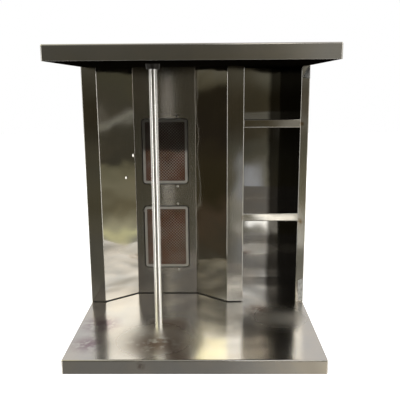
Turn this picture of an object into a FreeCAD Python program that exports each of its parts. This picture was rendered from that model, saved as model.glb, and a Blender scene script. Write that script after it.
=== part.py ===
import FreeCAD, Part
import math
import os
import re
import Sketcher

# Vertical rotisserie broiler: a sheet-steel base tray, a body tower with a faceted burner
# recess and a shelf bay beside it, an overhanging canopy, and one upright spit in front of
# two stacked infrared gas burners. +X is the viewer's right, -Y the front, +Z up. The origin
# is on the floor, in the middle of the whole machine. Millimetres.

SHEET_ROWS = [
    ("body_width", "600", "outside width of the tower and of the base tray"),
    ("canopy_width", "604", "outside width of the canopy"),
    ("base_reach", "340", "base tray and canopy, ahead of the tower's front face"),
    ("body_depth", "218", "tower, front face to rear cover"),
    ("rear_reach", "30", "knobs and gas inlet, behind the rear cover"),
    ("skin", "1.2", "sheet thickness of the cabinet"),
    ("bend_radius", "2.2", "outside radius of the folded corners"),
    ("foot_drop", "3", "gap between the floor and the base tray's lips"),
    ("base_lip", "34", "height of the base tray's down-turned lips"),
    ("clear_height", "652", "base top to the underside of the canopy"),
    ("canopy_lip", "33", "height of the canopy's front lip"),
    ("soffit_rim", "16", "height of the soffit tray's up-turned rim"),
    ("left_post_width", "39.5", "front flange of the left side panel"),
    ("reflector_run", "87", "width of a side reflector, seen from the front"),
    ("recess_depth", "67.5", "front face of the tower to the burner panel"),
    ("panel_width", "171", "burner panel between the reflectors"),
    ("middle_post_width", "44.5", "front face of the post beside the bay"),
    ("bay_width", "148.5", "clear width of the shelf bay"),
    ("bay_depth", "207.5", "front face of the tower to the bay's back wall"),
    ("return_flange", "15", "rear flange that the back cover is screwed to"),
    ("screw_margin", "40", "end screws of the rear cover, from the base and canopy"),
    ("slot_shift", "140", "air slots, either side of the burner axis"),
    ("slot_length", "90", "length of an air slot"),
    ("slot_height", "8", "height of an air slot"),
    ("slot_drop", "54", "underside of the canopy to the first air slot"),
    ("slot_run", "150", "first air slot to the last"),
    ("joint_flange", "12", "flanges where a reflector is welded on"),
    ("shelf_lip", "22", "height of a shelf's front lip"),
    ("shelf_hem", "8", "return at the bottom of a shelf's lip"),
    ("upper_shelf_rise", "513", "base top to the upper shelf"),
    ("lower_shelf_rise", "257", "base top to the lower shelf"),
    ("burner_width", "125", "outside width of a burner frame"),
    ("burner_height", "180", "outside height of a burner frame"),
    ("burner_band", "7", "face width of a burner frame"),
    ("frame_proud", "1", "burner frame, ahead of the burner panel"),
    ("frame_depth", "13", "depth of a burner frame's walls"),
    ("window_radius", "3", "corners of the opening in a burner frame"),
    ("box_gap", "0.3", "gap between a burner frame and the box inside it"),
    ("cutout_gap", "3", "gap round a burner frame in its cut-out"),
    ("corner_radius", "8", "corners of the burner frames and cut-outs"),
    ("upper_burner_rise", "420.5", "base top to the middle of the upper burner"),
    ("lower_burner_rise", "172.5", "base top to the middle of the lower burner"),
    ("plenum_depth", "38", "depth of a burner's gas and air box"),
    ("plenum_back", "6", "front of the burner panel to the box's rim"),
    ("port_rise", "40", "burner middle to the hole for the mixing tube"),
    ("tile_depth", "12", "thickness of the ceramic tiles"),
    ("tile_back", "3.5", "front of the burner panel to the tiles"),
    ("tile_gap", "0.8", "joint between the two tiles"),
    ("mesh_pitch", "12", "repeat of the wire screen"),
    ("mesh_wire", "1", "wire of the screen"),
    ("screw_spread", "34", "burner screws, either side of the panel's middle"),
    ("screw_lift", "98.5", "burner screws, above and below a burner's middle"),
    ("screw_radius", "2", "shank of the small screws"),
    ("head_height", "2.2", "height of their heads"),
    ("bracket_width", "90", "width of a burner bracket"),
    ("bracket_edge", "108", "burner middle to the bracket's outer edge"),
    ("bracket_crank", "94.6", "burner middle to the bracket's crank"),
    ("crank_back", "13.8", "front of the burner panel to the crank"),
    ("bracket_back", "34", "front of the burner panel to the bracket's rear edge"),
    ("venturi_radius", "12", "outside of a mixing tube"),
    ("venturi_wall", "1.5", "wall of a mixing tube"),
    ("venturi_back", "165", "front face of the tower to the mixing tubes' axis"),
    ("mouth_drop", "64", "burner middle down to the mixing tube's mouth"),
    ("jet_gap", "5", "air gap between the mouth and the jet"),
    ("jet_length", "18", "length of a gas jet's holder"),
    ("tube_radius", "4", "outside of a gas supply tube"),
    ("tube_bend", "12", "centre-line radius of its bend"),
    ("tube_leg", "11", "straight leg under the jet"),
    ("manifold_shift", "70", "burner axis to the gas manifold, sideways"),
    ("manifold_back", "140", "front face of the tower to the manifold's axis"),
    ("manifold_radius", "8.55", "outside of 3/8 inch gas pipe"),
    ("inlet_radius", "10.65", "outside of 1/2 inch gas pipe"),
    ("inlet_rise", "19", "base top to the gas inlet's axis"),
    ("inlet_leg", "19", "gas inlet's axis to the manifold's foot"),
    ("thread_radius", "10.45", "threaded end of the gas inlet"),
    ("thread_length", "22", "threaded end of the gas inlet"),
    ("nut_side", "16", "length of one side of the hexagonal locknut"),
    ("nut_depth", "6", "thickness of the locknut"),
    ("valve_width", "22", "width and height of a valve block"),
    ("valve_depth", "28", "depth of a valve block"),
    ("neck_radius", "8", "turned neck of a valve"),
    ("neck_length", "12", "turned neck of a valve"),
    ("knob_radius", "17", "grip of a valve knob"),
    ("knob_gap", "4", "rear cover to a knob's skirt"),
    ("skirt_depth", "5", "thickness of a knob's skirt"),
    ("pointer_height", "2", "pointer ridge on a knob's face"),
    ("stem_radius", "3.9", "valve stem"),
    ("spit_shift", "-95", "spit axis, from the middle of the machine"),
    ("spit_ahead", "158", "spit axis, ahead of the tower's front face"),
    ("rod_radius", "9.5", "spit rod"),
    ("running_gap", "0.06", "radial clearance of the turning fits"),
    ("rod_entry", "14", "length of the spit's top inside its bush"),
    ("spit_lift", "15", "travel that frees the spit's foot from its socket"),
    ("bush_drop", "12", "black flange of the top bush, below the soffit"),
    ("tenon_size", "12", "square foot of the spit"),
    ("tenon_length", "12", "length of the square foot"),
    ("tenon_gap", "0.1", "clearance round the square foot"),
    ("socket_radius", "14", "turning socket under the base"),
    ("socket_floor", "5", "metal under the square foot"),
    ("housing_wall", "4", "wall and floor of the socket's housing"),
    ("housing_flange", "16", "reach of its flange past the socket"),
    ("seal_height", "3", "bead of black sealant along the tower's foot"),
    ("seal_proud", "2", "sealant, ahead of the sheets"),
    ("channel_shift", "200", "base channels, either side of the middle"),
    ("channel_width", "44", "width of a base channel"),
    ("channel_inset", "12", "ends of a channel, inside the tray's front and back"),
    ("foot_inset", "60", "rubber feet, from the tray's front and back"),
    ("foot_height", "6", "height of the rubber feet"),
    ("face_y", "=base_reach - (base_reach + body_depth + rear_reach) / 2", "front of tower"),
    ("back_y", "=face_y + body_depth", "outside of the rear cover"),
    ("front_y", "=face_y - base_reach", "front of the base tray"),
    ("spit_y", "=face_y - spit_ahead", "spit axis"),
    ("side_x", "=body_width / 2", "outside of the tower"),
    ("deck_z", "=foot_drop + base_lip", "top of the base tray"),
    ("soffit_z", "=deck_z + clear_height", "underside of the canopy"),
    ("top_z", "=soffit_z + canopy_lip", "top of the canopy"),
    ("half_panel", "=panel_width / 2", "half the burner panel"),
    ("panel_x", "=left_post_width + reflector_run + half_panel - side_x", "burner axis"),
    ("panel_y", "=face_y + recess_depth", "front of the burner panel"),
    ("mid_left_x", "=panel_x + half_panel + reflector_run", "middle post, left edge"),
    ("mid_right_x", "=mid_left_x + middle_post_width", "bay, left wall"),
    ("bay_right_x", "=mid_right_x + bay_width", "bay, right wall"),
    ("bay_back_y", "=face_y + bay_depth", "bay, back wall"),
    ("slant", "=sqrt(reflector_run ^ 2 + recess_depth ^ 2)", "true width of a reflector"),
    ("bend_shift", "=skin * (slant - reflector_run) / recess_depth", "offset at its bends"),
    ("venturi_y", "=face_y + venturi_back", "mixing tubes and gas valves"),
    ("manifold_x", "=panel_x + manifold_shift", "gas manifold"),
    ("manifold_y", "=face_y + manifold_back", "gas manifold"),
    ("inlet_z", "=deck_z + inlet_rise", "gas inlet"),
    ("jet_drop", "=mouth_drop + jet_gap + jet_length", "burner middle to the jet's foot"),
    ("valve_drop", "=jet_drop + tube_leg + tube_bend", "burner middle to its valve"),
    ("rod_foot_z", "=deck_z - skin - 3", "shoulder above the square foot"),
    ("valve_y", "=manifold_y + manifold_radius", "front of the valve blocks"),
    ("knob_y", "=back_y + knob_gap", "front of the knobs' skirts"),
]

doc = FreeCAD.newDocument("vertical_broiler")
sheet = doc.addObject("Spreadsheet::Sheet", "dims")
sheet.Label = "driving dimensions"
for row, (alias, text, meaning) in enumerate(SHEET_ROWS, start=1):
    sheet.set("A%d" % row, meaning)
    sheet.set("B%d" % row, text)
    sheet.setAlias("B%d" % row, alias)
doc.recompute()
ALIASES = {row[0] for row in SHEET_ROWS}
PARTS = []


def bound(text):
    """The expression with every alias pointed at the sheet."""
    def point(match):
        word = match.group(0)
        return "dims." + word if word in ALIASES else word
    return re.sub(r"[a-z_]+", point, text)


def number(text):
    """The present value of an expression."""
    return float(sheet.evalExpression(bound(text)))


def new_body(label):
    """An empty body whose label names its file."""
    body = doc.addObject("PartDesign::Body", label)
    body.AllowCompound = True
    PARTS.append(body)
    return body


def new_sketch(body, name, plane, right="0", up="0", away="0"):
    """A sketch flat on one of the body's planes, moved within and off that plane."""
    sketch = body.newObject("Sketcher::SketchObject", name)
    for feature in body.Origin.OriginFeatures:
        if feature.Role == plane:
            sketch.AttachmentSupport = [(feature, "")]
    sketch.MapMode = "FlatFace"
    sketch.setExpression("AttachmentOffset.Base.x", bound(right))
    sketch.setExpression("AttachmentOffset.Base.y", bound(up))
    sketch.setExpression("AttachmentOffset.Base.z", bound(away))
    return sketch


def pin_point(sketch, edge, end, across, upward):
    """Ties one end of an edge to two expressions measured from the sketch's origin."""
    for kind, text in (("DistanceX", across), ("DistanceY", upward)):
        rule = Sketcher.Constraint(kind, -1, 1, edge, end, number(text))
        index = sketch.addConstraint(rule)
        sketch.setExpression("Constraints[%d]" % index, bound(text))


def outline(sketch, corners):
    """A closed polygon with every corner tied to the sheet."""
    points = [FreeCAD.Vector(number(a), number(b), 0) for a, b in corners]
    first = sketch.GeometryCount
    count = len(points)
    for i in range(count):
        sketch.addGeometry(Part.LineSegment(points[i], points[(i + 1) % count]), False)
    for i in range(count):
        after = first + (i + 1) % count
        sketch.addConstraint(Sketcher.Constraint("Coincident", first + i, 2, after, 1))
    for i, (across, upward) in enumerate(corners):
        pin_point(sketch, first + i, 1, across, upward)


def rectangle(sketch, left, right, low, high):
    """A closed rectangle between four expressions."""
    outline(sketch, [(left, low), (right, low), (right, high), (left, high)])


def rounded_rectangle(sketch, left, right, low, high, radius):
    """A closed rectangle with a tied arc at every corner."""
    size = number(radius)
    near_left, near_right = left + " + " + radius, right + " - " + radius
    near_low, near_high = low + " + " + radius, high + " - " + radius
    sides = [
        ((near_left, low), (near_right, low)), ((right, near_low), (right, near_high)),
        ((near_right, high), (near_left, high)), ((left, near_high), (left, near_low))]
    middles = [
        (near_right, near_low), (near_right, near_high),
        (near_left, near_high), (near_left, near_low)]
    first = sketch.GeometryCount
    for begin, end in sides:
        points = [FreeCAD.Vector(number(a), number(b), 0) for a, b in (begin, end)]
        sketch.addGeometry(Part.LineSegment(points[0], points[1]), False)
    for i, (across, upward) in enumerate(middles):
        middle = FreeCAD.Vector(number(across), number(upward), 0)
        ring = Part.Circle(middle, FreeCAD.Vector(0, 0, 1), size)
        from_angle = (i - 1) * math.pi / 2
        arc = Part.ArcOfCircle(ring, from_angle, from_angle + math.pi / 2)
        sketch.addGeometry(arc, False)
    for i, (begin, end) in enumerate(sides):
        pin_point(sketch, first + i, 1, begin[0], begin[1])
        pin_point(sketch, first + i, 2, end[0], end[1])
    for i in range(4):
        corner = first + 4 + i
        after = first + (i + 1) % 4
        sketch.addConstraint(Sketcher.Constraint("Coincident", first + i, 2, corner, 1))
        sketch.addConstraint(Sketcher.Constraint("Coincident", corner, 2, after, 1))
        index = sketch.addConstraint(Sketcher.Constraint("Radius", corner, size))
        sketch.setExpression("Constraints[%d]" % index, bound(radius))


def circle(sketch, across, upward, radius):
    """A circle with centre and radius tied to the sheet."""
    middle = FreeCAD.Vector(number(across), number(upward), 0)
    up = FreeCAD.Vector(0, 0, 1)
    edge = sketch.addGeometry(Part.Circle(middle, up, number(radius)), False)
    pin_point(sketch, edge, 3, across, upward)
    index = sketch.addConstraint(Sketcher.Constraint("Radius", edge, number(radius)))
    sketch.setExpression("Constraints[%d]" % index, bound(radius))


def bent_path(sketch, start, corner, finish, radius):
    """Two straight legs at right angles, joined by a tangent arc."""
    ends = [FreeCAD.Vector(number(a), number(b), 0) for a, b in (start, corner, finish)]
    size = number(radius)
    arriving = (ends[0] - ends[1]).normalize() * size
    leaving = (ends[2] - ends[1]).normalize() * size
    middle = ends[1] + arriving + leaving
    ahead = leaving.x * arriving.y - leaving.y * arriving.x > 0
    opening = arriving if ahead else leaving
    spoke = ends[1] + opening - middle
    start_angle = math.atan2(spoke.y, spoke.x)
    sketch.addGeometry(Part.LineSegment(ends[0], ends[1] + arriving), False)
    sketch.addGeometry(Part.ArcOfCircle(
        Part.Circle(middle, FreeCAD.Vector(0, 0, 1), size),
        start_angle, start_angle + math.pi / 2), False)
    sketch.addGeometry(Part.LineSegment(ends[1] + leaving, ends[2]), False)
    near = 1 if ahead else 2
    sketch.addConstraint(Sketcher.Constraint("Tangent", 0, 2, 1, near))
    sketch.addConstraint(Sketcher.Constraint("Tangent", 1, 3 - near, 2, 1))
    level = abs(arriving.y) < 1e-6
    sketch.addConstraint(Sketcher.Constraint("Horizontal" if level else "Vertical", 0))
    sketch.addConstraint(Sketcher.Constraint("Vertical" if level else "Horizontal", 2))
    index = sketch.addConstraint(Sketcher.Constraint("Radius", 1, size))
    sketch.setExpression("Constraints[%d]" % index, bound(radius))
    pin_point(sketch, 0, 1, start[0], start[1])
    pin_point(sketch, 2, 2, finish[0], finish[1])


def sweep(body, name, path, ring):
    """Carries a ring along a bent path to make a tube."""
    feature = body.newObject("PartDesign::AdditivePipe", name)
    feature.Profile = ring
    feature.Spine = (path, ["Edge1", "Edge2", "Edge3"])
    body.Tip = feature
    doc.recompute()


def pad(body, name, sketch, length, flip=False):
    """Raises a sketch into a solid; flip raises it against the sketch's normal."""
    feature = body.newObject("PartDesign::Pad", name)
    feature.Profile = sketch
    feature.setExpression("Length", bound(length))
    feature.Reversed = flip
    body.Tip = feature
    doc.recompute()
    return feature


def pocket(body, name, sketch, length, flip=False):
    """Cuts a sketch out of the solid, and stops if nothing was cut."""
    before = body.Shape.Volume
    feature = body.newObject("PartDesign::Pocket", name)
    feature.Profile = sketch
    feature.setExpression("Length", bound(length))
    feature.Reversed = flip
    body.Tip = feature
    doc.recompute()
    if not body.Shape.Volume < before - 1e-3:
        raise ValueError(body.Label + ": " + name + " cuts nothing")
    return feature


def revolve(body, name, sketch):
    """Turns a half profile round the sketch's upright axis."""
    feature = body.newObject("PartDesign::Revolution", name)
    feature.Profile = sketch
    feature.ReferenceAxis = (sketch, ["V_Axis"])
    feature.Angle = 360
    body.Tip = feature
    doc.recompute()


def round_edges(body, name, radius, wanted):
    """Rounds every edge whose bounding box passes the test."""
    names = []
    last = body.Tip
    for index, edge in enumerate(last.Shape.Edges, start=1):
        if wanted(edge.BoundBox):
            names.append("Edge%d" % index)
    if not names:
        raise ValueError(body.Label + ": " + name + " finds no edge")
    feature = body.newObject("PartDesign::Fillet", name)
    feature.Base = (last, names)
    feature.setExpression("Radius", bound(radius))
    body.Tip = feature
    doc.recompute()


def upright_at(*places):
    """A test for the upright edges that stand at the given plan positions."""
    spots = [(number(a), number(b)) for a, b in places]

    def test(box):
        if box.XLength > 0.01 or box.YLength > 0.01:
            return False
        near = [abs(box.XMin - x) < 0.02 and abs(box.YMin - y) < 0.02 for x, y in spots]
        return any(near)
    return test


def folded_upright(label, corners, rounded):
    """A full-height folded sheet: its plan outline raised from the base to the soffit."""
    body = new_body(label)
    sketch = new_sketch(body, label + "_plan", "XY_Plane", away="deck_z")
    outline(sketch, corners)
    pad(body, label + "_rise", sketch, "clear_height")
    if rounded:
        round_edges(body, label + "_bends", "bend_radius", upright_at(*rounded))
    return body


def tray(label, half_width, low_y, high_y, low_z, height, rounded_z, opening_z, depth):
    """A shallow folded tray with rounded bends, hollow on one side."""
    body = new_body(label)
    sketch = new_sketch(body, label + "_plan", "XY_Plane", away=low_z)
    rectangle(sketch, "0 - " + half_width, half_width, low_y, high_y)
    pad(body, label + "_block", sketch, height)
    level = number(rounded_z)

    def on_bend(box):
        upright = box.XLength < 0.01 and box.YLength < 0.01
        level_edge = box.ZLength < 0.01 and abs(box.ZMin - level) < 0.01
        return upright or level_edge
    round_edges(body, label + "_bends", "bend_radius", on_bend)
    hollow = new_sketch(body, label + "_inside", "XY_Plane", away=opening_z)
    inner = half_width + " - skin"
    rectangle(hollow, "0 - (" + inner + ")", inner, low_y + " + skin", high_y + " - skin")
    pocket(body, label + "_hollow", hollow, depth, flip=True)
    return body


# Base tray: one sheet folded down on all four sides, with a hole for the spit's foot.
base_tray = tray(
    "base_tray", "side_x", "front_y", "back_y", "foot_drop", "base_lip", "deck_z",
    "foot_drop", "base_lip - skin")
hole = new_sketch(base_tray, "spit_hole", "XY_Plane", away="deck_z")
circle(hole, "spit_shift", "spit_y", "rod_radius + 1")
pocket(base_tray, "spit_opening", hole, "skin * 2")

# Two channels under the tray, open upwards, that stiffen it and carry the rubber feet.
for side, sign in (("left", "-"), ("right", "+")):
    label = "base_channel_" + side
    channel = new_body(label)
    middle = "0 " + sign + " channel_shift"
    low_x = middle + " - channel_width / 2"
    high_x = middle + " + channel_width / 2"
    roof = "deck_z - skin"
    section = new_sketch(channel, label + "_section", "XZ_Plane", away="0 - (front_y + channel_inset)")
    outline(section, [
        (low_x, "foot_height"), (high_x, "foot_height"), (high_x, roof),
        (high_x + " - skin", roof), (high_x + " - skin", "foot_height + skin"),
        (low_x + " + skin", "foot_height + skin"), (low_x + " + skin", roof), (low_x, roof)])
    pad(channel, label + "_run", section, "back_y - front_y - channel_inset * 2", flip=True)
    holes = new_sketch(channel, label + "_holes", "XY_Plane", away="foot_height")
    for place in ("front_y + foot_inset", "back_y - foot_inset"):
        circle(holes, middle, place, "screw_radius + 0.5")
    pocket(channel, label + "_drilled", holes, "skin * 2", flip=True)

# Four rubber feet, each with a plug that holds it in its channel.
feet = new_body("rubber_feet")
pads = new_sketch(feet, "feet_plan", "XY_Plane")
plugs = new_sketch(feet, "plug_plan", "XY_Plane", away="foot_height")
for side in ("0 - channel_shift", "channel_shift"):
    for place in ("front_y + foot_inset", "back_y - foot_inset"):
        circle(pads, side, place, "channel_width / 2 - 6")
        circle(plugs, side, place, "screw_radius + 0.4")
pad(feet, "feet_discs", pads, "foot_height")
pad(feet, "feet_plugs", plugs, "skin + 3")


# Four evenly spaced heights at which the rear cover is screwed on.
COVER_LEVELS = [
    "deck_z + screw_margin + (clear_height - screw_margin * 2) * %d / 3" % step
    for step in range(4)]


def screw_column(body, name, across, back):
    """Four clearance holes up a rear flange, cut through from the given depth."""
    sketch = new_sketch(body, name, "XZ_Plane", away="0 - (" + back + ")")
    for height in COVER_LEVELS:
        circle(sketch, across, height, "screw_radius + 0.1")
    pocket(body, name + "_drilled", sketch, "skin * 2")


# Left side panel: outer wall, front post and rear flange folded from one sheet.
left_panel = folded_upright("left_side_panel", [
    ("0 - side_x", "face_y"),
    ("left_post_width - side_x", "face_y"),
    ("left_post_width - side_x", "face_y + skin"),
    ("skin - side_x", "face_y + skin"),
    ("skin - side_x", "back_y - skin * 2"),
    ("return_flange - side_x", "back_y - skin * 2"),
    ("return_flange - side_x", "back_y - skin"),
    ("0 - side_x", "back_y - skin")],
    [("0 - side_x", "face_y"), ("0 - side_x", "back_y - skin")])
screw_column(left_panel, "left_cover_holes", "return_flange / 2 - side_x", "back_y - skin * 3")


def reflector(label, sign):
    """A slanted sheet from a post's edge back to the burner panel, flanged behind both."""
    outer = "panel_x " + sign + " (half_panel + reflector_run"
    inner = "panel_x " + sign + " (half_panel"
    folded_upright(label, [
        (outer + " + joint_flange)", "face_y + skin"),
        (outer + ")", "face_y + skin"),
        (inner + ")", "panel_y + skin"),
        (inner + " - joint_flange)", "panel_y + skin"),
        (inner + " - joint_flange)", "panel_y + skin * 2"),
        (inner + " + bend_shift)", "panel_y + skin * 2"),
        (outer + " + bend_shift)", "face_y + skin * 2"),
        (outer + " + joint_flange)", "face_y + skin * 2")], [])


reflector("left_reflector", "-")
reflector("right_reflector", "+")

# Burner panel: a flat sheet with two round-cornered cut-outs and four screws for each burner.
panel = new_body("burner_panel")
face = new_sketch(panel, "panel_face", "XZ_Plane", away="0 - panel_y")
rectangle(face, "panel_x - half_panel", "panel_x + half_panel", "deck_z", "soffit_z")
pad(panel, "panel_sheet", face, "skin", flip=True)
cuts = new_sketch(panel, "panel_cuts", "XZ_Plane", away="0 - panel_y")
drills = new_sketch(panel, "panel_drills", "XZ_Plane", away="0 - panel_y")
half_cut = "(burner_width / 2 + cutout_gap)"
tall_cut = "(burner_height / 2 + cutout_gap)"
for rise in ("upper_burner_rise", "lower_burner_rise"):
    middle = "deck_z + " + rise
    rounded_rectangle(
        cuts, "panel_x - " + half_cut, "panel_x + " + half_cut,
        middle + " - " + tall_cut, middle + " + " + tall_cut, "(corner_radius + cutout_gap)")
    for across in ("panel_x - screw_spread", "panel_x + screw_spread"):
        for upward in (" - screw_lift", " + screw_lift"):
            circle(drills, across, middle + upward, "screw_radius + 0.1")
pocket(panel, "panel_openings", cuts, "skin * 2")
pocket(panel, "panel_drilled", drills, "skin * 2")

# Middle post: its front face and the bay's left wall, folded from one sheet.
folded_upright("middle_post", [
    ("mid_left_x", "face_y"),
    ("mid_right_x", "face_y"),
    ("mid_right_x", "bay_back_y"),
    ("mid_right_x - skin", "bay_back_y"),
    ("mid_right_x - skin", "face_y + skin"),
    ("mid_left_x", "face_y + skin")],
    [("mid_right_x", "face_y")])

# Right side panel: the bay's right wall, the front post, the outer wall and the rear flange.
right_panel = folded_upright("right_side_panel", [
    ("bay_right_x", "face_y"),
    ("side_x", "face_y"),
    ("side_x", "back_y - skin"),
    ("side_x - return_flange", "back_y - skin"),
    ("side_x - return_flange", "back_y - skin * 2"),
    ("side_x - skin", "back_y - skin * 2"),
    ("side_x - skin", "face_y + skin"),
    ("bay_right_x + skin", "face_y + skin"),
    ("bay_right_x + skin", "bay_back_y"),
    ("bay_right_x", "bay_back_y")],
    [("bay_right_x", "face_y"), ("side_x", "face_y"), ("side_x", "back_y - skin")])
screw_column(right_panel, "right_cover_holes", "side_x - return_flange / 2", "back_y - skin * 3")

# Back wall of the bay, a flat sheet welded across the ends of the two bay walls.
wall = doc.addObject("Part::Box", "bay_back_wall")
wall.setExpression("Length", bound("bay_width + skin * 2"))
wall.setExpression("Width", bound("skin"))
wall.setExpression("Height", bound("clear_height"))
wall.setExpression("Placement.Base.x", bound("mid_right_x - skin"))
wall.setExpression("Placement.Base.y", bound("bay_back_y"))
wall.setExpression("Placement.Base.z", bound("deck_z"))
PARTS.append(wall)


def shelf(label, rise):
    """A sheet folded down at the front, with a hem, and down again at the back."""
    body = new_body(label)
    section = new_sketch(body, label + "_section", "YZ_Plane", away="mid_right_x")
    top = "deck_z + " + rise
    low = top + " - shelf_lip"
    outline(section, [
        ("face_y", low),
        ("face_y + shelf_hem", low),
        ("face_y + shelf_hem", low + " + skin"),
        ("face_y + skin", low + " + skin"),
        ("face_y + skin", top + " - skin"),
        ("bay_back_y - skin", top + " - skin"),
        ("bay_back_y - skin", top + " - return_flange"),
        ("bay_back_y", top + " - return_flange"),
        ("bay_back_y", top),
        ("face_y", top)])
    pad(body, label + "_run", section, "bay_width")
    front = number("face_y")

    def at_front(box):
        level = box.YLength < 0.01 and box.ZLength < 0.01
        return level and abs(box.YMin - front) < 0.01
    round_edges(body, label + "_bends", "bend_radius", at_front)


shelf("upper_shelf", "upper_shelf_rise")
shelf("lower_shelf", "lower_shelf_rise")

# Rear cover: one flat sheet with two columns of air slots, screwed to the side panels.
cover = new_body("rear_cover")
back = new_sketch(cover, "cover_face", "XZ_Plane", away="skin - back_y")
rectangle(back, "0 - side_x", "side_x", "deck_z", "soffit_z")
pad(cover, "cover_sheet", back, "skin", flip=True)
slots = new_sketch(cover, "cover_slots", "XZ_Plane", away="skin - back_y")
for across in ("panel_x - slot_shift", "panel_x + slot_shift"):
    rectangle(
        slots, across + " - slot_length / 2", across + " + slot_length / 2",
        "soffit_z - slot_drop - slot_height", "soffit_z - slot_drop")
pocket(cover, "slot_pair", slots, "skin * 2")
slot_pair = cover.Tip
louvres = cover.newObject("PartDesign::LinearPattern", "slot_rows")
louvres.Originals = [slot_pair]
louvres.Direction = (slots, ["V_Axis"])
louvres.Reversed = True
louvres.setExpression("Length", bound("slot_run"))
louvres.Occurrences = 7
cover.Tip = louvres
doc.recompute()
openings = new_sketch(cover, "cover_openings", "XZ_Plane", away="skin - back_y")
circle(openings, "manifold_x", "inlet_z", "inlet_radius + 0.4")
for rise in ("upper_burner_rise", "lower_burner_rise"):
    circle(openings, "manifold_x", "deck_z + " + rise + " - valve_drop", "stem_radius + 1")
for across in ("return_flange / 2 - side_x", "side_x - return_flange / 2"):
    for height in COVER_LEVELS:
        circle(openings, across, height, "screw_radius + 0.1")
pocket(cover, "cover_drilled", openings, "skin * 2")


def screws(label, places, head_y, sign, reach):
    """Pan-head screws with their heads on a face; sign is the way the heads stand."""
    body = new_body(label)
    flip = sign == "+"
    heads = new_sketch(body, label + "_heads", "XZ_Plane", away="0 - (" + head_y + ")")
    shanks = new_sketch(body, label + "_shanks", "XZ_Plane", away="0 - (" + head_y + ")")
    for across, upward in places:
        circle(heads, across, upward, "screw_radius * 1.7")
        circle(shanks, across, upward, "screw_radius")
    pad(body, label + "_pans", heads, "head_height", flip=flip)
    level = number(head_y + " " + sign + " head_height")

    def on_crown(box):
        return box.YLength < 0.01 and abs(box.YMin - level) < 0.01
    round_edges(body, label + "_crowns", "1.4", on_crown)
    pad(body, label + "_stems", shanks, reach, flip=not flip)


cover_places = []
for across in ("return_flange / 2 - side_x", "side_x - return_flange / 2"):
    cover_places += [(across, height) for height in COVER_LEVELS]
screws("cover_screws", cover_places, "back_y", "+", "skin * 2 + 4")

panel_places = []
for rise in ("upper_burner_rise", "lower_burner_rise"):
    for across in ("panel_x - screw_spread", "panel_x + screw_spread"):
        for upward in (" - screw_lift", " + screw_lift"):
            panel_places.append((across, "deck_z + " + rise + upward))
screws("burner_screws", panel_places, "panel_y", "-", "skin * 2 + 5")

# Canopy: a sheet folded down on four sides, closed underneath by the soffit tray.
tray(
    "canopy", "canopy_width / 2", "front_y", "back_y + 2", "soffit_z", "canopy_lip", "top_z",
    "soffit_z", "canopy_lip - skin")
soffit = tray(
    "soffit_tray", "(canopy_width / 2 - skin)", "front_y + skin", "back_y + 2 - skin",
    "soffit_z", "soffit_rim", "soffit_z", "soffit_z + skin", "soffit_rim")
hole = new_sketch(soffit, "bush_hole", "XY_Plane", away="soffit_z")
circle(hole, "spit_shift", "spit_y", "rod_radius + 4")
pocket(soffit, "bush_opening", hole, "skin * 2", flip=True)

# Top bush: a black flanged socket through the soffit; the spit slides and turns in it.
bush = new_body("spit_bush")
half = new_sketch(
    bush, "bush_profile", "XZ_Plane", right="spit_shift", away="0 - spit_y")
bore = "rod_radius + running_gap"
roof = "top_z - skin - 1"
outline(half, [
    (bore, "soffit_z - bush_drop"),
    ("rod_radius + 5.5", "soffit_z - bush_drop"),
    ("rod_radius + 7.5", "soffit_z"),
    ("rod_radius + 3.9", "soffit_z"),
    ("rod_radius + 3.9", roof),
    ("0", roof),
    ("0", roof + " - 2"),
    (bore, roof + " - 2")])
revolve(bush, "bush_turned", half)

# Spit rod: a plain bar whose square foot drops into the turning socket under the base.
rod = new_body("spit_rod")
plan = new_sketch(rod, "rod_plan", "XY_Plane", away="rod_foot_z")
circle(plan, "spit_shift", "spit_y", "rod_radius")
pad(rod, "rod_bar", plan, "soffit_z - bush_drop + rod_entry - rod_foot_z")
rod_end = number("soffit_z - bush_drop + rod_entry")
round_edges(rod, "rod_tip", "2", lambda box: abs(box.ZMin - rod_end) < 0.01)
square = new_sketch(rod, "foot_plan", "XY_Plane", away="rod_foot_z")
rectangle(
    square, "spit_shift - tenon_size / 2", "spit_shift + tenon_size / 2",
    "spit_y - tenon_size / 2", "spit_y + tenon_size / 2")
pad(rod, "rod_foot", square, "tenon_length", flip=True)

# Turning socket, and the housing welded under the base tray that it turns in.
socket = new_body("spit_socket")
plan = new_sketch(socket, "socket_plan", "XY_Plane", away="rod_foot_z")
circle(plan, "spit_shift", "spit_y", "socket_radius")
pad(socket, "socket_drum", plan, "tenon_length + socket_floor", flip=True)
square = new_sketch(socket, "socket_square", "XY_Plane", away="rod_foot_z")
rectangle(
    square,
    "spit_shift - tenon_size / 2 - tenon_gap", "spit_shift + tenon_size / 2 + tenon_gap",
    "spit_y - tenon_size / 2 - tenon_gap", "spit_y + tenon_size / 2 + tenon_gap")
pocket(socket, "socket_recess", square, "tenon_length + 0.5")

housing = new_body("socket_housing")
half = new_sketch(
    housing, "housing_profile", "XZ_Plane", right="spit_shift", away="0 - spit_y")
floor = "rod_foot_z - tenon_length - socket_floor"
outline(half, [
    ("0", floor + " - housing_wall"),
    ("socket_radius + housing_wall", floor + " - housing_wall"),
    ("socket_radius + housing_wall", "rod_foot_z"),
    ("socket_radius + housing_flange", "rod_foot_z"),
    ("socket_radius + housing_flange", "deck_z - skin"),
    ("socket_radius + running_gap", "deck_z - skin"),
    ("socket_radius + running_gap", floor),
    ("0", floor)])
revolve(housing, "housing_turned", half)

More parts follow.
